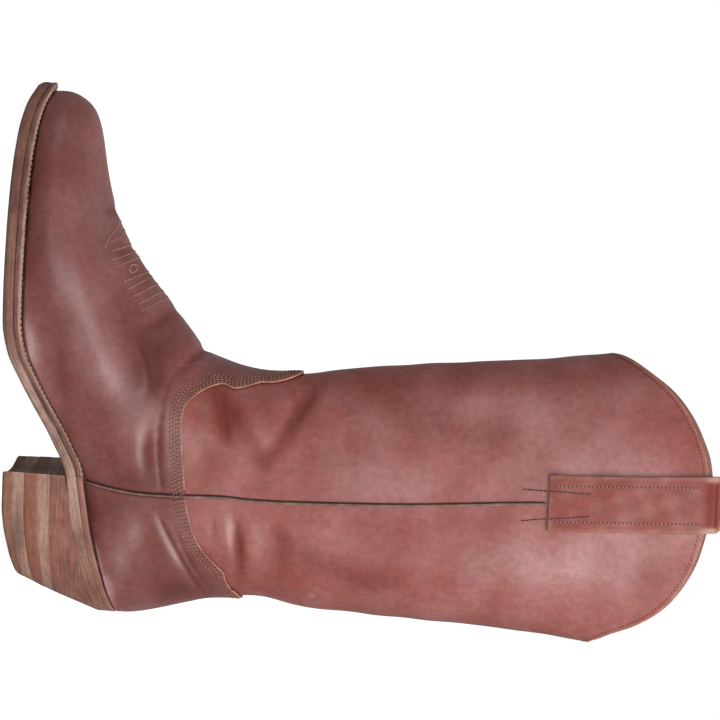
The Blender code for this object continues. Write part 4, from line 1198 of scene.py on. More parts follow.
def plain_finish(name, colour, roughness, spread=0.25):
    """Thread, piping and raw edges: one colour, uneven in tone, with a fine bump."""
    made = bpy.data.materials.new(name)
    made.use_nodes = True
    tree = made.node_tree
    shader = tree.nodes["Principled BSDF"]
    place = add_node(tree, "ShaderNodeTexCoord").outputs["Object"]
    patches = noise(tree, place, 160.0, 4.0)
    dark = tuple(channel * (1 - spread) for channel in colour)
    light = tuple(min(1.0, channel * (1 + spread)) for channel in colour)
    share = remap(tree, patches, 0.35, 0.65)
    tree.links.new(blend_colour(tree, share, (*dark, 1.0), (*light, 1.0)), shader.inputs["Base Color"])
    uneven = remap(tree, patches, 0.3, 0.7, roughness - 0.08, roughness + 0.08)
    tree.links.new(uneven, shader.inputs["Roughness"])
    bump = add_node(tree, "ShaderNodeBump", {"Height": patches, "Strength": 0.3, "Distance": 0.0002})
    tree.links.new(bump.outputs[0], shader.inputs["Normal"])
    return made


tan_thread = plain_finish("tan thread", (0.31, 0.15, 0.10), 0.7)
faded_thread = plain_finish("faded thread", (0.33, 0.185, 0.155), 0.7)
cream_thread = plain_finish("cream thread", (0.42, 0.25, 0.20), 0.7)
dark_thread_and_hole_shade = plain_finish("dark thread and painted hole shade", (0.055, 0.018, 0.014), 0.7)
raw_edge = plain_finish("raw cut edge", (0.43, 0.215, 0.125), 0.65, 0.35)
piping_look = plain_finish("piping leather", (0.235, 0.125, 0.098), 0.5, 0.3)
painted_shadow_look = plain_finish("painted seam shadow finish", (0.035, 0.014, 0.012), 0.7)
rim_look = plain_finish("rim line leather", (0.40, 0.21, 0.13), 0.6, 0.3)
# The rim's top face is coloured dark as painted shade of the lining's shadowed edge.
rim_top_shade = plain_finish("rim top painted shade", (0.060, 0.036, 0.030), 0.6, 0.3)
print("materials:", len(bpy.data.materials))

# %% [markdown]
# ## The upper
#
# The shaft and the foot's inner skin are one hollow wall. The grid runs once round the boot, up the
# outside, over the collar's edge, down the inside and back under the lower edge, so the wall comes out
# closed and has its real thickness. The inside gets its own lining leather. Where the leather is dusty
# or dark, and where highlights and shade are painted on it, is listed first, as a short list of soft
# spots seen from the side.

# %% Tone of the leather, with painted highlights and shade
# The columns are side (0 is both), y, z, reach in y, reach in z and amount.
# Above 0 is pale: dust, and painted highlights such as the counter's pale band and the sheen on the vamp and
# the shaft. Below 0 is dark: darker leather, and painted shade such as the band above the welt.
TONES = (
    (1, -20, 50, 30, 11, 0.20),
    (1, 12, 57, 24, 12, 0.26),
    (1, -72, 58, 14, 8, 0.25),
    (1, -90, 34, 16, 9, 0.14),
    (1, 95, 75, 11, 5, 0.50),
    (1, 113, 68, 10, 5, 0.60),
    (1, 128, 60, 8, 6, 0.80),
    (1, 108, 88, 16, 6, -0.35),
    (1, 50, 195, 34, 24, 0.16),
    (1, 100, 175, 18, 30, 0.22),
    (1, 98, 122, 10, 5, 0.30),
    (1, 45, 300, 30, 40, 0.28),
    (1, 62, 338, 56, 34, 0.44),
    (1, 105, 300, 20, 50, 0.22),
    (1, 132, 245, 12, 60, 0.30),
    (1, 22, 250, 14, 50, 0.50),
    (0, -45, 70, 26, 9, -0.35),
    (0, -8, 88, 20, 10, -0.40),
    (1, 10, 74, 16, 7, -0.45),
    (1, -60, 24, 40, 5, -0.30),
    (1, 5, 34, 34, 5, -0.40),
    (1, 28, 62, 7, 14, -0.35),
    (1, 30, 123, 8, 12, -0.55),
    (1, 14, 118, 9, 14, -0.50),
    (1, 50, 142, 7, 7, -0.40),
    (1, 51, 118, 12, 9, -0.45),
    (1, 28, 160, 10, 12, -0.20),
    (1, 106, 133, 16, 3.5, -0.60),
    (1, 122, 150, 8, 20, -0.25),
    (1, 66, 80, 5, 14, -0.30),
    (1, 82, 78, 6, 14, -0.28),
    (1, 100, 50, 34, 7, -0.90),
    (1, 127, 100, 8, 16, -0.30),
    (1, 20, 340, 14, 40, -0.15),
    (1, 127, 173, 1.3, 1.3, 0.80),
)


def tones(points):
    """How pale (above 0) or dark (below 0) the leather is at each point: dust and painted highlights, darker
    leather and painted shade.
    """
    flat = points.reshape(-1, 3) / MM
    found = np.zeros(len(flat))
    for side, y, z, reach_y, reach_z, amount in TONES:
        away = ((flat[:, 1] - y) / reach_y) ** 2 + ((flat[:, 2] - z) / reach_z) ** 2
        on_side = 1.0 if side == 0 else 0.6 + 0.4 * smooth(-6, 6, side * flat[:, 0])
        found += amount * np.exp(-away) * on_side
    return found.reshape(points.shape[:-1])


FULL_HOLLOW = 1.1 * MM
FULL_CREST = 1.2 * MM


def leather_marks(level, turn):
    """The numbers that the leather's finish reads: hollow (darkened as painted shade), crest and tone (with
    painted highlights and shade).
    """
    moves = leather_moves(level, turn)
    return {
        "hollow": np.clip(-moves / FULL_HOLLOW, 0, 1),
        "crest": np.clip(moves / FULL_CREST, 0, 1),
        "tone": tones(surface(level, turn)),
    }


# %% The hollow wall
UPPER_GRID = (240, 200)
WALL_V = (0.0, 0.16, 0.76, 0.78, 0.98, 1.0)
WALL_LEVEL = (0.0, 0.5, 1.0, 1.0, 0.0, 0.0)
WALL_OUT = (0.0, 0.0, 0.0, -WALL, -WALL, 0.0)
INSIDE_V = 0.779
RIM_V = 0.77
RIM_REACH = 0.0095


def wall_place(u, v):
    """A point of the wall: v runs up the outside, over the rim, down the inside and back."""
    return lasted(np.interp(v, WALL_V, WALL_LEVEL), u, np.interp(v, WALL_V, WALL_OUT))


def wall_marks(u, v):
    """The leather's marks, and which part of the wall a point is on: outside 0, rim a half, inside 1."""
    found = leather_marks(np.interp(v, WALL_V, WALL_LEVEL), u)
    found["inside"] = (v > INSIDE_V).astype(float) + 0.5 * (np.abs(v - RIM_V) < RIM_REACH)
    return found


upper_bm = mapped(wall_place, *UPPER_GRID, wall_marks)
inside = upper_bm.verts.layers.float["inside"]
# Faces of the rim's top take the dark rim finish, a painted shade.
for face in upper_bm.faces:
    share = sum(vert[inside] for vert in face.verts) / len(face.verts)
    face.material_index = 1 if share > 0.9 else (2 if share > 0.2 else 0)
upper = add_piece("boot_upper", upper_bm, [shaft_look, lining_look, rim_top_shade])
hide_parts("upper")
print("upper faces:", len(upper.data.polygons))

# %% [markdown]
# ## Vamp and counter
#
# Both are overlays that lie on the upper. Each is one sheet: its rows start on the middle line, at the
# front for the vamp and at the back for the counter, and end on the sheet's border, which climbs the
# side seam and then follows the cut top edge. So the edge is followed exactly and no rows cross. A
# Solidify modifier gives the sheet its thickness inwards.

# %% The two overlays
OVERLAY_OUT = GAP + OVERLAY
FOOT_LIFT = 0.6
SEAM_READ_TO = 0.20
SEAM_POINTS = 80
MIDDLE_SHARE = {"vamp": 0.68, "counter": 0.95}
THROAT_SHARE = 0.14
VAMP_GRID = (200, 230)
COUNTER_GRID = (160, 160)

SEAM_LEVELS = {}
for side in (1, -1):
    for word, offset in (("vamp", -PANEL_SLOT / 2), ("counter", PANEL_SLOT / 2)):
        SEAM_LEVELS[word, side] = seam_path(side, FOOT_HEIGHT + MM, SEAM_READ_TO, offset)


def seam_turn(word, level, side):
    """The turn of a panel's seam edge at a level."""
    path = SEAM_LEVELS[word, side]
    return np.interp(level, path[:, 0], path[:, 1])


def panel_border(word, side):
    """The border up the seam and along the top edge: run, level, share of the seam's turn and middle."""
    edge = VAMP_EDGES[side] if word == "vamp" else COUNTER_EDGES[side]
    middle = 0.5 if word == "counter" else (0.0 if side > 0 else 1.0)
    climb = np.linspace(0, edge[0, 0], SEAM_POINTS)[:-1]
    level = np.concatenate([climb, edge[:, 0]])
    edge_share = (edge[:, 1] - middle) / (seam_turn(word, edge[:, 0], side) - middle)
    share = np.concatenate([np.ones(SEAM_POINTS - 1), edge_share])
    turn = middle + share * (seam_turn(word, level, side) - middle)
    run = lengths(surface(level, turn))
    return run / run[-1], level, share, middle


BORDERS = {(word, side): panel_border(word, side) for word in ("vamp", "counter") for side in (1, -1)}


def middle_levels(word):
    """Where the rows start on the middle line: run along the border, and level there."""
    run, level, share, _ = BORDERS[word, 1]
    seam_end = SEAM_POINTS - 1
    throat = int(np.argmax(share < THROAT_SHARE)) if word == "vamp" else len(run) - 1
    held = MIDDLE_SHARE[word]
    start = level[:seam_end] * held
    bridge = np.linspace(level[seam_end] * held, level[throat], throat - seam_end)
    return run, np.concatenate([start, bridge, level[throat:]])


MIDDLES = {word: middle_levels(word) for word in ("vamp", "counter")}


def panel_path(word, w, v):
    """Level and turn of a panel's point: w from the inner (-1) to the outer border (1), v up the border."""
    level = np.zeros(len(w))
    turn = np.zeros(len(w))
    for side in (1, -1):
        run, border_level, border_share, middle = BORDERS[word, side]
        mine = (w >= 0) if side > 0 else (w < 0)
        out = np.abs(w[mine])
        start = np.interp(v[mine], *MIDDLES[word])
        level[mine] = start + (np.interp(v[mine], run, border_level) - start) * out
        share = out * np.interp(v[mine], run, border_share)
        turn[mine] = middle + share * (seam_turn(word, level[mine], side) - middle)
    return level, turn


def panel(word, columns, rows):
    """The sheet of the vamp or of the counter. Its lower edge is lifted a little off the welt."""
    direction = 1 if word == "vamp" else -1

    def place(u, v):
        level, turn = panel_path(word, direction * (2 * u - 1), v)
        points = lasted(level, turn, OVERLAY_OUT)
        points[:, 2] += FOOT_LIFT * OVERLAY_OUT * (1 - smooth(0.0, 0.03, level))
        return points

    def marks(u, v):
        return leather_marks(*panel_path(word, direction * (2 * u - 1), v))

    return mapped(place, columns, rows, marks, solid=False)


def thicken(piece, thickness):
    """Gives a sheet its thickness, inwards."""
    solid = piece.modifiers.new("thickness", "SOLIDIFY")
    solid.thickness = thickness
    solid.offset = -1.0
    solid.use_even_offset = False


vamp = add_piece("boot_vamp", panel("vamp", *VAMP_GRID), [vamp_look])
thicken(vamp, OVERLAY)
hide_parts("vamp")
counter = add_piece("boot_counter", panel("counter", *COUNTER_GRID), [vamp_look])
thicken(counter, OVERLAY)
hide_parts("counter")
print("overlay faces:", len(vamp.data.polygons), len(counter.data.polygons))

# %% [markdown]
# ## Outsole and welt
#
# Both follow one outline, so they share one tool: a section is carried round it. Each row of the section
# table gives how far the point reaches from the middle line to the edge, how far it is set in from the
# edge, and its height. The edge is a little uneven, as a hand-trimmed and worn edge is.

# %% Outsole
SOLE_GRID = (240, 40)
TRIM = 0.00022


def trimmed(turn):
    """How unevenly the edge was trimmed, in metres."""
    wave = np.sin(2 * math.pi * 9 * turn + 1.1) + np.sin(2 * math.pi * 23 * turn) * 0.6
    return TRIM * (wave + 0.5 * np.sin(2 * math.pi * 41 * turn + 0.4))


def outline_point(turn, reach, inset, height):
    """A point of the sole: out from the middle line by a share, in from the edge by an inset."""
    u = (1 - np.cos(2 * math.pi * turn)) / 2
    along = inset_along(u, inset, inset)
    half = sole_half_width(u) * (1 - inset / (BALL_WIDTH / 2)) - trimmed(turn) * np.sin(math.pi * u)
    x = np.sign(np.round(np.sin(2 * math.pi * turn), 9)) * half * reach + sole_centre(along)
    return np.stack([x, y_at(along), height(along)], axis=-1)


def run_along(turn):
    """Distance round the outline, near enough for a finish."""
    return turn * 2 * (SOLE_LENGTH + BALL_WIDTH / 2)


OUTSOLE_COLUMNS = ("v", "reach", "inset", "rise", "arris")
OUTSOLE_SECTION = (
    (0.00, 0.0, 0.0000, 0.00, 0.0),
    (0.28, 1.0, 0.0030, 0.00, 0.3),
    (0.32, 1.0, 0.0014, 0.08, 0.5),
    (0.37, 1.0, 0.0004, 0.25, 0.3),
    (0.43, 1.0, 0.0000, 0.50, 0.0),
    (0.58, 1.0, 0.0001, 0.96, 0.0),
    (0.65, 1.0, 0.0006, 1.04, 0.0),
    (1.00, 0.0, 0.0000, 1.00, 0.0),
)


WAIST_PALE = 1.3
HEEL_PALE = 0.12


def section_at(v, rows, names, name):
    """One named column of a section's table, read at v."""
    return np.interp(v, column(rows, names, "v"), column(rows, names, name))


def outsole_place(u, v):
    """A point of the outsole. Under the heel its edge is square."""
    reach = section_at(v, OUTSOLE_SECTION, OUTSOLE_COLUMNS, "reach")
    inset = section_at(v, OUTSOLE_SECTION, OUTSOLE_COLUMNS, "inset")
    rise = section_at(v, OUTSOLE_SECTION, OUTSOLE_COLUMNS, "rise") * OUTSOLE_THICKNESS
    squared = smooth(0.72, 0.78, (1 - np.cos(2 * math.pi * u)) / 2)
    return outline_point(u, reach, inset * (1 - squared), lambda along: sole_bottom(along) + rise)


def outsole_marks(u, v):
    """The arris is rubbed pale, most of all along the waist, and dirt lies along the welt."""
    rise = section_at(v, OUTSOLE_SECTION, OUTSOLE_COLUMNS, "rise")
    along = (1 - np.cos(2 * math.pi * u)) / 2
    waist = smooth(0.44, 0.60, along) * (1 - smooth(0.76, 0.86, along))
    heel = smooth(0.72, 0.80, along)
    arris = section_at(v, OUTSOLE_SECTION, OUTSOLE_COLUMNS, "arris") * 0.5 * (1 - heel)
    return {
        "run": run_along(u),
        "rise": rise * OUTSOLE_THICKNESS,
        "arris": arris + waist * WAIST_PALE + heel * HEEL_PALE,
        "soil": 0.5 * smooth(0.9, 1.0, rise) * (v < 0.66) * (1 - heel),
    }


outsole_bm = mapped(outsole_place, *SOLE_GRID, outsole_marks)
outsole = add_piece("boot_outsole", outsole_bm, [outsole_look])
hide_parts("outsole")

# %% Welt and heel rand
STRIP_COLUMNS = ("v", "inset", "rise", "arris", "soil")
STRIP_SECTION = (
    (0.00, WELT_WIDTH, 0.00, 0.0, 0.0),
    (0.20, 0.0005, 0.00, 0.0, 0.5),
    (0.25, 0.0002, 0.12, 0.0, 0.2),
    (0.45, 0.0000, 0.62, 0.0, 0.0),
    (0.52, 0.0003, 0.84, 0.4, 0.0),
    (0.58, 0.0008, 0.95, 1.0, 0.0),
    (0.66, 0.0018, 1.00, 0.8, 0.0),
    (0.85, WELT_WIDTH, 1.00, 0.0, 0.6),
    (1.00, WELT_WIDTH, 0.00, 0.0, 0.0),
)


WELT_GRID = (220, 28)
RAND_GRID = (120, 28)
RAND_ARRIS = 0.1


def strip(name, low_turn, high_turn, grid, look, gap=0.0, arris=1.0, soil=1.0):
    """A strip on the outsole's margin between two turns of the outline, moved back by a gap."""

    def place(u, v):
        turn = low_turn + u * (high_turn - low_turn)
        inset = section_at(v, STRIP_SECTION, STRIP_COLUMNS, "inset")
        rise = section_at(v, STRIP_SECTION, STRIP_COLUMNS, "rise") * WELT_THICKNESS
        points = outline_point(turn, 1.0, inset, lambda along: welt_bottom(along) + rise)
        points[:, 1] += gap
        return points

    def marks(u, v):
        return {
            "run": run_along(low_turn + u * (high_turn - low_turn)),
            "rise": section_at(v, STRIP_SECTION, STRIP_COLUMNS, "rise") * WELT_THICKNESS,
            "arris": section_at(v, STRIP_SECTION, STRIP_COLUMNS, "arris") * arris,
            "soil": section_at(v, STRIP_SECTION, STRIP_COLUMNS, "soil") * soil,
        }

    return add_piece(name, mapped(place, *grid, marks), [look])


welt = strip("boot_welt", -BREAST_TURN, BREAST_TURN, WELT_GRID, welt_look)
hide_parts("welt")
rand = strip(
    "boot_heel_rand", BREAST_TURN, 1 - BREAST_TURN, RAND_GRID, heel_rose,
    gap=GAP, arris=RAND_ARRIS, soil=0.0,
)
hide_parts("heel_rand")
print("sole faces:", len(outsole.data.polygons) + len(welt.data.polygons) + len(rand.data.polygons))

# %% [markdown]
# ## The stacked heel
#
# The heel is a pile of leather lifts, trimmed together to one slanting block: narrower and shorter at
# the floor than under the seat, hollowed at the breast and worn away at the back corner. One function
# gives the block's outline at any height, and each lift takes its slice.

# %% Lifts, top lift and wedge
WEAR_COLUMNS = ("along", "worn")
WEAR = ((0.0, 0.0), (0.30, 0.0), (0.50, 0.18), (0.70, 0.50), (1.0, 1.0))
ROUND_SHARE = 0.8
HEEL_GRID = (150, 50)
ARRIS = 0.0001
TREAD_ROUNDING = 0.0014
STAIN_PLACE = (0.103, 0.0095)
STAIN_REACH = (0.014, 0.0035)
BLOCK_MIDDLE = 0.45
LIFT_PROUD = 0.0001
SLICE_COLUMNS = ("v", "reach", "share")
SLICE = (
    (0.00, 0.0, 0.00),
    (0.30, 1.0, 0.00),
    (0.34, 1.0, 0.10),
    (0.40, 1.0, 0.25),
    (0.65, 1.0, 0.97),
    (0.70, 1.0, 1.00),
    (1.00, 0.0, 1.00),
)
EDGE_V = (0.3, 0.34, 0.40, 0.65, 0.7)


def heel_wear(y):
    """How far the tread is worn up at a y."""
    along = (y - y_at(BREAST_ALONG)) / HEEL_BASE_LENGTH
    worn = monotone(along, column(WEAR, WEAR_COLUMNS, "along"), column(WEAR, WEAR_COLUMNS, "worn"))
    return worn * HEEL_WEAR


def heel_outline(u, layer, reach, inset):
    """A point round the heel block at a layer's height, or under the outsole where that is None."""
    breast_y = y_at(BREAST_ALONG)
    round_share = np.clip(u / ROUND_SHARE, 0, 1)
    turn = BREAST_TURN + round_share * (1 - 2 * BREAST_TURN)
    round_back = outline_point(turn, 1.0, 0.0, sole_bottom)
    corners = outline_point(np.array([1 - BREAST_TURN, BREAST_TURN]), 1.0, 0.0, sole_bottom)
    across = np.clip((u - ROUND_SHARE) / (1 - ROUND_SHARE), 0, 1)
    breast = corners[0] + across[:, None] * (corners[1] - corners[0])
    breast[:, 1] += BREAST_HOLLOW * (1 - (2 * across - 1) ** 2)
    points = np.where((u > ROUND_SHARE)[:, None], breast, round_back)
    drop = 0.0 if layer is None else 1 - layer / points[:, 2]
    x = points[:, 0] * (1 - drop * (1 - HEEL_BASE_WIDTH / SEAT_WIDTH))
    y = breast_y + (points[:, 1] - breast_y) * (1 - drop * (1 - HEEL_BASE_LENGTH / (y_at(1.0) - breast_y)))
    middle = breast_y + BLOCK_MIDDLE * HEEL_BASE_LENGTH
    set_in = reach * (1 - inset / (HEEL_BASE_WIDTH / 2))
    x = x * set_in
    y = middle + (y - middle) * set_in
    if layer is None:
        z = sole_bottom(along_at(y)) - GAP / 8
    else:
        worn_share = 1 - layer / (TOP_LIFT_THICKNESS + (LIFT_COUNT + 1) * LIFT_THICKNESS)
        z = layer + worn_share * heel_wear(y)
    return np.stack([x, y, z], axis=-1)


def heel_slice(name, node, low, high, look, proud=0.0, rounding=ARRIS):
    """One lift between two heights of the block. proud moves its edge out, rounding is its lower arris."""

    def place(u, v):
        reach = section_at(v, SLICE, SLICE_COLUMNS, "reach")
        share = section_at(v, SLICE, SLICE_COLUMNS, "share")
        inset = np.interp(v, EDGE_V, (rounding, rounding * 0.3 - proud, -proud, -proud, ARRIS))
        bottom = heel_outline(u, low, reach, inset)
        top = heel_outline(u, high, reach, inset)
        return bottom + share[:, None] * (top - bottom)

    def marks(u, v):
        points = place(u, v)
        share = np.interp(v, (0.3, 0.35, 0.65, 0.7), (0.0, 0.06, 0.94, 1.0))
        # Painted light: the breast's face is made paler through the arris number, standing in for light that
        # does not reach it.
        breast = smooth(ROUND_SHARE - 0.005, ROUND_SHARE + 0.01, u)
        away = sum(((points[:, i + 1] - STAIN_PLACE[i]) / STAIN_REACH[i]) ** 2 for i in range(2))
        return {
            "run": u * 2.5 * HEEL_BASE_LENGTH,
            "rise": points[:, 2],
            "arris": 0.12 * (1 - np.abs(2 * share - 1)) + 0.6 * breast,
            "soil": 0.22 * smooth(0.40, 0.5, np.abs(share - 0.5)) + 0.6 * np.exp(-away),
        }

    piece = add_piece(name, mapped(place, *HEEL_GRID, marks), [look])
    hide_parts(node)
    return piece


LIFT_LOOKS = (heel_tan, heel_red, heel_tan)
heel_slice("boot_top_lift", "top_lift", 0.0, TOP_LIFT_THICKNESS, tread_look,
           rounding=TREAD_ROUNDING)
for index, look in enumerate(LIFT_LOOKS):
    low = TOP_LIFT_THICKNESS + index * LIFT_THICKNESS + GAP / 8
    high = TOP_LIFT_THICKNESS + (index + 1) * LIFT_THICKNESS
    node = f"heel_lift_{index + 1}"
    heel_slice(f"boot_{node}", node, low, high, look, LIFT_PROUD * (index % 2))
wedge_low = TOP_LIFT_THICKNESS + LIFT_COUNT * LIFT_THICKNESS + GAP / 8
heel_slice("boot_heel_wedge", "heel_wedge", wedge_low, None, heel_rose)
print("heel from the floor to", round(float(sole_bottom(1.0)) / MM, 1), "mm at the back")

# %% [markdown]
# ## Side seams
#
# Each side seam is piped: a narrow welt of grey-brown leather stands in the seam, with a painted shadow
# of the join along its toe side, as a dark cord. Both are rolled beads laid on the seam's path.

# %% Piping and its painted shadow line
PIPING_HALF = 0.0008
PIPING_HEIGHT = 0.0010
SHADOW_LINE_HALF = 0.0004
SHADOW_LINE_HEIGHT = 0.0006
SEAM_TOP = SIDE_HEIGHT - STRAP_LENGTH
SEAM_SPACING = 0.0014


def side_seam(side, word):
    """The piping and the painted shadow line of one side. It returns the seam's length."""
    path = evenly(seam_path(side, FOOT_HEIGHT + 2 * GAP, SEAM_TOP - 4 * GAP), SEAM_SPACING)
    towards_heel = PIPING_HALF * 0.8
    piping = bead(beside(path, -side * towards_heel), OVERLAY * 0.3, PIPING_HALF, PIPING_HEIGHT)
    piece = add_piece(f"boot_side_seam_{word}", piping, [piping_look])
    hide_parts(f"side_seam_{word}")
    # A dark cord on the toe side of the piping: painted shadow of the join.
    shadow_line = bead(beside(path, side * SHADOW_LINE_HALF), OVERLAY * 0.2, SHADOW_LINE_HALF, SHADOW_LINE_HEIGHT)
    shadow = add_piece(f"boot_painted_seam_shadow_{word}", shadow_line, [painted_shadow_look])
    return lengths(surface(*path.T))[-1]


for side, word in ((1, "outer"), (-1, "inner")):
    print(word, "side seam:", round(side_seam(side, word) / MM), "mm")

# %% [markdown]
# ## Cut edges and stitch rows
#
# The vamp and the counter are cut from thick leather, so their top edges show the raw, paler inside of
# the hide as a fine line. Beside the edge run rows of small stitches, with dark dots between them as
# painted shade of the needle holes. A stitch is one small stretched ball, and a hole's painted shade is a
# darker, flatter one.

# %% Rows along the edges
EDGE_HALF = 0.00036
EDGE_HEIGHT = 0.00045
THREAD_RADIUS = 0.00034
STITCH_SPACING = 0.0022
VAMP_ROWS = (0.0014, 0.0027, 0.0044, 0.0057)
COUNTER_ROWS = (0.0014, 0.0027, 0.0050)


def dark_dots(bm, path, out, spacing, radius):
    """Dark flat dots along a row. Between stitches they are painted shade of the needle holes."""
    path = evenly(path, spacing)
    points = lasted(*path.T, out)
    for centre, outward in zip(points, normals(*path.T)):
        turned = Vector(outward).to_track_quat("Z", "Y").to_matrix().to_4x4()
        flat = Matrix.Diagonal((radius, radius, radius * 0.5, 1.0))
        place = Matrix.Translation(Vector(centre)) @ turned @ flat
        bmesh.ops.create_icosphere(bm, subdivisions=1, radius=1.0, matrix=place)


def own_side(path, side):
    """Only the points of a path that lie on their own side of the boot's front."""
    keep = path[:, 1] > 0.0005 if side > 0 else path[:, 1] < 0.9995
    return path[keep]


def edge_line(word, edges, direction, out):
    """The raw edge of a panel, on both sides of the boot."""
    beads = []
    for side in (1, -1):
        path = own_side(beside(edges[side], direction * side * EDGE_HALF * 0.6), side)
        beads.append(bead(path, out, EDGE_HALF, EDGE_HEIGHT, around=6))
    piece = add_piece(f"boot_{word}_edge", join(beads), [raw_edge])


def edge_rows(word, edges, rows, direction):
    """The stitch rows of a panel and the painted shade of their needle holes."""
    thread = bmesh.new()
    hole_shade = bmesh.new()
    count = 0
    for side in (1, -1):
        for distance in rows:
            path = own_side(beside(edges[side], direction * side * distance), side)
            count += stitches(thread, path, OVERLAY_OUT + THREAD_RADIUS * 0.25, STITCH_SPACING, THREAD_RADIUS)
            # Dark dots between the stitches: painted shade of the needle holes.
            dark_dots(hole_shade, path, OVERLAY_OUT, STITCH_SPACING, THREAD_RADIUS * 1.3)
    add_piece(f"boot_{word}_stitches", thread, [tan_thread])
    add_piece(f"boot_{word}_dark_dots", hole_shade, [dark_thread_and_hole_shade])
    return count


edge_line("vamp", VAMP_EDGES, 1, OVERLAY_OUT - EDGE_HEIGHT * 0.8)
edge_line("counter", COUNTER_EDGES, -1, OVERLAY_OUT - EDGE_HEIGHT * 0.8)
print("vamp stitches:", edge_rows("vamp", VAMP_EDGES, VAMP_ROWS, 1))
print("counter stitches:", edge_rows("counter", COUNTER_EDGES, COUNTER_ROWS, -1))

# %% [markdown]
# ## The collar
#
# The collar's edge is turned and sewn: a pale cut line runs along the rim, with one row of small
# stitches below it. The rim's path is simply the whole turn at the top level.

# %% Rim line and its stitches
RIM_LINE_HALF = 0.0004
RIM_LEVEL = 0.9985
RIM_STEPS = 320
RIM_ROW = 0.0019

rim_turns = np.linspace(0, 1, RIM_STEPS)
rim = np.stack([np.full(RIM_STEPS, RIM_LEVEL), rim_turns], axis=-1)
rim_bead = bead(rim, -RIM_LINE_HALF * 0.4, RIM_LINE_HALF, RIM_LINE_HALF, 6)
rim_line = add_piece("boot_rim_line", rim_bead, [rim_look])
below_rim = beside(rim, -RIM_ROW)
rim_thread = bmesh.new()
rim_count = stitches(rim_thread, below_rim, THREAD_RADIUS * 0.2, STITCH_SPACING, THREAD_RADIUS * 0.8)
add_piece("boot_rim_stitches", rim_thread, [dark_thread_and_hole_shade])
print("rim stitches:", rim_count)

# %% [markdown]
# ## Pull straps
#
# A pull strap is one long band: up the outside, over the rim and down the inside, so that a hand can
# grip it. Its middle surface is a grid that follows the shaft, turns round the rim on a half circle and
# follows the lining down. A Solidify modifier gives the leather's thickness, and a Bevel rounds the cut
# edges. The edges are rubbed pale; the fold's corners carry a painted highlight and the fold itself a
# painted shade.

# %% The two straps
STRAP_GRID = (24, 130)
FOLD_STARTS = 0.60
FOLD_ENDS = 0.68
STRAP_OUT = 2 * GAP + STRAP_THICKNESS / 2
STRAP_SHARES = np.linspace(0, 1, STRAP_GRID[0] + 1)
STRAP_LINES = 9
OVER_LEVEL = 0.9999
NEAR_RIM = 0.93


def strap_ends(offset, side):
    """Bottom and rim of the strap's outer leaf, and the inner leaf's end, as level and turn."""
    low_z = np.full(offset.shape, SIDE_HEIGHT - STRAP_LENGTH)
    bottom = on_side(seam_y(low_z, side) + offset, low_z, side)
    below = np.full(offset.shape, SIDE_HEIGHT * NEAR_RIM)
    near_rim = on_side(seam_y(below, side) + offset, below, side)
    turns = near_rim[:, 1]
    for _ in range(SEARCH_PASSES):
        rim_y = surface(np.full(offset.shape, OVER_LEVEL), turns)[:, 1]
        rim_slope = slopes(np.full(offset.shape, OVER_LEVEL), turns)[1][:, 1]
        turns = turns + (seam_y(SIDE_HEIGHT, side) + offset - rim_y) / rim_slope
    inner_z = np.full(offset.shape, SIDE_HEIGHT - STRAP_INNER_LENGTH)
    inner = on_side(seam_y(inner_z, side) + offset, inner_z, side)
    return bottom, turns, inner


def strap_path(u, v, side):
    """Level, turn, the strap's distance out and its angle round the rim."""
    edges = np.linspace(-0.5, 0.5, STRAP_LINES) * STRAP_WIDTH
    bottom, turns, inner = strap_ends(edges, side)
    offset = (u - 0.5) * STRAP_WIDTH
    start = np.stack([np.interp(offset, edges, bottom[:, i]) for i in range(2)], axis=-1)
    over = np.interp(offset, edges, turns)
    end = np.stack([np.interp(offset, edges, inner[:, i]) for i in range(2)], axis=-1)
    up = np.clip(v / FOLD_STARTS, 0, 1)
    down = np.clip((v - FOLD_ENDS) / (1 - FOLD_ENDS), 0, 1)
    rising = v < FOLD_STARTS
    up_level = start[:, 0] + up * (OVER_LEVEL - start[:, 0])
    down_level = OVER_LEVEL + down * (end[:, 0] - OVER_LEVEL)
    level = np.where(rising, up_level, down_level)
    turn = np.where(rising, start[:, 1] + up * (over - start[:, 1]), over + down * (end[:, 1] - over))
    angle = np.clip((v - FOLD_STARTS) / (FOLD_ENDS - FOLD_STARTS), 0, 1) * math.pi
    return level, turn, angle


def strap_place(u, v, side):
    """A point of the strap's middle surface. Its standing loop is level across."""
    level, turn, angle = strap_path(u, v, side)
    outward = normals(level, turn)
    upward = unit(slopes(level, turn)[0])
    radius = WALL / 2 + STRAP_OUT
    middle = lasted(level, turn, -WALL / 2)
    points = middle + radius * (np.cos(angle)[:, None] * outward + np.sin(angle)[:, None] * upward)
    half_column = 0.5 / STRAP_GRID[0]
    tops = np.array([points[np.abs(u - share) < half_column, 2].max() for share in STRAP_SHARES])
    standing = np.interp(u, STRAP_SHARES, tops.max() - tops)
    loop = smooth(0.35, FOLD_STARTS, v) * (1 - smooth(FOLD_ENDS, 0.90, v))
    points[:, 2] += standing * loop
    return points


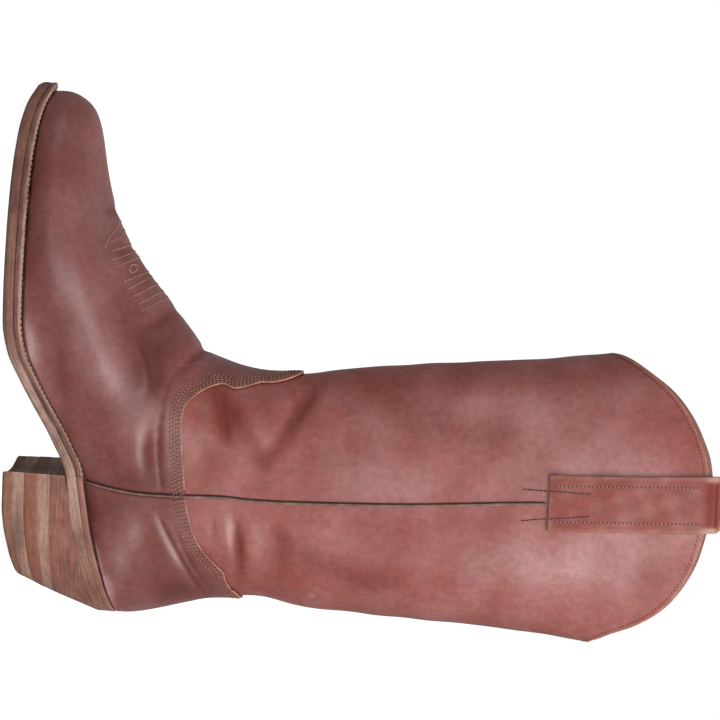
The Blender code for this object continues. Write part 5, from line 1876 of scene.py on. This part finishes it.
def strap_marks(u, v):
    """Rubbed pale edges and ends, a painted highlight on the fold's corners, painted shade across the fold, a
    faint painted sheen, and reds that vary slowly along the strap.
    """
    side_edge = smooth(0.42, 0.5, np.abs(u - 0.5))
    ends = smooth(0.985, 1.0, 1 - v)
    # Painted highlight on the fold's corners, painted shade across the fold and a faint painted sheen on the
    # outer leaf.
    painted_corner_highlight = np.exp(-((v - 0.60) / 0.035) ** 2) * smooth(0.36, 0.44, np.abs(u - 0.5))
    painted_fold_shade = np.exp(-((v - 0.605) / 0.026) ** 2) * (1 - smooth(0.34, 0.42, np.abs(u - 0.5)))
    painted_sheen = np.exp(-((v - 0.40) / 0.12) ** 2) * np.exp(-((u - 0.5) / 0.25) ** 2)
    reds = np.sin(v * 47 + 5 * u) * np.sin(v * 19 - 9 * u) * 0.16
    return {
        "hollow": 0.3 * painted_fold_shade,
        "crest": np.clip(side_edge + ends * 0.4, 0, 1),
        "tone": np.clip(1.0 * painted_corner_highlight - 1.0 * painted_fold_shade + 0.10 * painted_sheen + reds, -1, 1),
    }


def pull_strap(side, word):
    """One strap as a sheet with its thickness and its rounded edges."""
    columns, rows = STRAP_GRID
    bm = mapped(lambda u, v: strap_place(u, v, side), columns, rows, strap_marks, solid=False)
    if side < 0:
        bmesh.ops.reverse_faces(bm, faces=bm.faces)
    piece = add_piece(f"boot_pull_strap_{word}", bm, [strap_look])
    solid = piece.modifiers.new("thickness", "SOLIDIFY")
    solid.thickness = STRAP_THICKNESS
    solid.offset = 0.0
    rounding = piece.modifiers.new("cut edges", "BEVEL")
    rounding.width = 0.0005
    rounding.segments = 2
    rounding.limit_method = "ANGLE"
    rounding.angle_limit = math.radians(50)
    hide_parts(f"pull_strap_{word}")


for side, word in ((1, "outer"), (-1, "inner")):
    pull_strap(side, word)

# %% Stitches of the straps
STRAP_ROW_OFFSETS = (-0.0090, 0.0100)
TACK_LOW = 0.2870
TACK_HIGH = 0.3240
TACK_RADIUS = 0.00042
TACK_SPACING = 0.0024
TACK = ((-0.0075, -0.0050), (0.0096, 0.0066))
TACK_CLOSE = 0.0028
ROW_STEPS = 30
STRAP_FACE = 2 * GAP + STRAP_THICKNESS


def straight_on_side(side, y_low, z_low, y_high, z_high):
    """A straight line of a side view. Its y is given from the side seam."""
    z = np.linspace(z_low, z_high, ROW_STEPS)
    y = seam_y(z, side) + np.linspace(y_low, y_high, ROW_STEPS)
    return on_side(y, z, side)


strap_thread = bmesh.new()
strap_hole_shade_and_arc = bmesh.new()
tack_thread = bmesh.new()
for side in (1, -1):
    for offset in STRAP_ROW_OFFSETS:
        row = straight_on_side(side, offset, SEAM_TOP + 0.004, offset, SIDE_HEIGHT - 0.008)
        stitches(strap_thread, row, STRAP_FACE, STITCH_SPACING, THREAD_RADIUS * 1.1)
        # Dark dots between the strap's stitches: painted shade of the needle holes.
        dark_dots(strap_hole_shade_and_arc, row, STRAP_FACE, STITCH_SPACING, THREAD_RADIUS * 1.6)
    for low, high in TACK:
        across = low + (high - low) * (SEAM_TOP - TACK_LOW) / (TACK_HIGH - TACK_LOW)
        below = straight_on_side(side, low, TACK_LOW, across, SEAM_TOP - 0.001)
        stitches(tack_thread, below, TACK_RADIUS * 0.4, TACK_SPACING, TACK_RADIUS, 1.1)
        above = straight_on_side(side, across, SEAM_TOP + 0.0005, high, TACK_HIGH)
        stitches(tack_thread, above, STRAP_FACE + TACK_RADIUS * 0.2, TACK_SPACING, TACK_RADIUS, 1.1)
    close = np.linspace(0, math.pi, ARC_STEPS)
    middle = (TACK[0][1] + TACK[1][1]) / 2
    half = (TACK[1][1] - TACK[0][1]) / 2
    arc_z = TACK_HIGH + TACK_CLOSE * np.sin(close)
    arc = on_side(seam_y(arc_z, side) + middle - half * np.cos(close), arc_z, side)
    # Here the same dark dots draw the tack's faint closing arc of dark thread.
    dark_dots(strap_hole_shade_and_arc, arc, STRAP_FACE, TACK_SPACING, THREAD_RADIUS)
add_piece("boot_strap_stitches", strap_thread, [tan_thread])
add_piece("boot_strap_dark_dots", strap_hole_shade_and_arc, [dark_thread_and_hole_shade])
add_piece("boot_strap_tack", tack_thread, [dark_thread_and_hole_shade])
print("strap face above the shaft:", round(STRAP_FACE / MM, 2), "mm")

# %% [markdown]
# ## The stitched ornament over the toes
#
# Western boots carry a small stitched figure on the vamp, which also stiffens the leather. Here it is a
# pointed leaf, three bars, a little ring and five longer bars, all in pale thread and alike on both
# sides of the ridge. Each line is given on the outer side, in millimetres as seen from the side, and is
# then carried over the ridge to the same place on the inner side.

# %% Leaf, bars and ring
# A bar's columns are y and z of its low end and y of the ridge's point where it crosses.
BARS = (
    (-56.8, 53.4, -58.4),
    (-52.3, 54.6, -54.5),
    (-48.2, 56.2, -51.4),
    (-40.4, 61.5, -43.6),
    (-36.4, 64.2, -41.0),
    (-32.4, 67.0, -36.9),
    (-28.2, 69.9, -33.2),
    (-24.7, 72.2, -29.9),
)
LEAF_UPPER = ((-58.9, 50.5), (-61.0, 50.8), (-62.6, 51.3), (-65.6, 52.8), (-67.5, 54.4))
LEAF_LOWER = ((-61.7, 51.8), (-61.9, 54.4), (-63.0, 57.0))
LEAF_RIDGE = (-71.5, -66.5)
RING_PLACE = (-46.5, 65.0)
RING_RADIUS = 2.0
RING_STEPS_ROUND = 40
ORNAMENT_RADIUS = 0.00040
ORNAMENT_SPACING = 0.0024
RIDGE_STEPS = 24
RIDGE_LEVELS = (0.05, 0.5)
STRAIGHT_SHARE = 0.5
STRAIGHT_STEPS = 6


def ridge_point(y):
    """The level and the height at which the vamp's ridge passes a y, both lengths in millimetres."""
    levels = np.linspace(*RIDGE_LEVELS, LEVEL_STEPS)
    ridge = surface(levels, np.zeros(LEVEL_STEPS))
    order = np.argsort(ridge[:, 1])
    level = float(np.interp(y * MM, ridge[order, 1], levels[order]))
    return level, float(np.interp(y * MM, ridge[order, 1], ridge[order, 2])) / MM


def over_the_ridge(places, ridge_y):
    """A path through places of the outer side, up to the ridge and down again on the inner side."""
    y, z = np.array(places, float).T * MM
    outer = on_side(y, z, 1)
    last = outer[-1]
    share = np.linspace(0, 1, RIDGE_STEPS)[1:]
    top = ridge_point(ridge_y)[0]
    climb = np.stack([last[0] + (top - last[0]) * (1 - (1 - share) ** 2), last[1] * (1 - share)], axis=-1)
    half = np.concatenate([outer, climb])
    mirrored = half[-2::-1] * [1.0, -1.0]
    return np.concatenate([half, mirrored])


def bar(y, z, ridge_y):
    """A bar that looks straight from the side, from its low end to the ridge and down again."""
    height = ridge_point(ridge_y)[1]
    share = np.linspace(0, STRAIGHT_SHARE, STRAIGHT_STEPS)
    return over_the_ridge(np.stack([y + (ridge_y - y) * share, z + (height - z) * share], axis=-1), ridge_y)


ornament = bmesh.new()
lines = [bar(y, z, ridge_y) for y, z, ridge_y in BARS]
lines.append(over_the_ridge(LEAF_UPPER, LEAF_RIDGE[0]))
lines.append(over_the_ridge(LEAF_LOWER, LEAF_RIDGE[1]))
ring_angle = np.linspace(0, 2 * math.pi, RING_STEPS_ROUND)
ring_y = (RING_PLACE[0] + RING_RADIUS * np.cos(ring_angle)) * MM
ring_z = (RING_PLACE[1] + RING_RADIUS * np.sin(ring_angle)) * MM
lines.append(on_side(ring_y, ring_z, 1))
lines.append(on_side(ring_y, ring_z, -1))
ornament_out = OVERLAY_OUT + ORNAMENT_RADIUS * 0.3
ornament_count = 0
for line in lines:
    ornament_count += stitches(ornament, line, ornament_out, ORNAMENT_SPACING, ORNAMENT_RADIUS, 1.1)
add_piece("boot_ornament", ornament, [faded_thread])
print("ornament stitches:", ornament_count)

# %% [markdown]
# ## Welt stitches and the insole
#
# The outsole is sewn to the welt, and the thread shows on the welt's top, between its edge and the
# vamp. Each stitch is a short stretched ball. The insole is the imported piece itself, with the lining's
# leather.

# %% Welt stitches
WELT_ROW_INSET = 0.0019
WELT_SPACING = 0.0030
WELT_THREAD = 0.00055
WELT_STEPS = 600

welt_turns = np.linspace(-BREAST_TURN, BREAST_TURN, WELT_STEPS)
welt_row = outline_point(welt_turns, 1.0, WELT_ROW_INSET, lambda along: welt_top(along) + WELT_THREAD * 0.2)
run = lengths(welt_row)
marks_at = np.linspace(0, run[-1], int(run[-1] / WELT_SPACING))
points = np.stack([np.interp(marks_at, run, welt_row[:, i]) for i in range(3)], axis=-1)
welt_thread = bmesh.new()
for start, end in zip(points[:-1], points[1:]):
    forward = Vector(end - start)
    turned = forward.to_track_quat("X", "Z").to_matrix().to_4x4()
    scaled = Matrix.Diagonal((forward.length * 0.4, WELT_THREAD, WELT_THREAD * 0.8, 1.0))
    place = Matrix.Translation(Vector((start + end) / 2)) @ turned @ scaled
    bmesh.ops.create_icosphere(welt_thread, subdivisions=1, radius=1.0, matrix=place)
add_piece("boot_welt_stitches", welt_thread, [cream_thread])
print("welt stitches:", len(points) - 1)

# %% Insole leather
insole = bpy.data.objects["insole"]
insole.data.materials.clear()
insole.data.materials.append(lining_look)
print("insole material:", insole.data.materials[0].name)
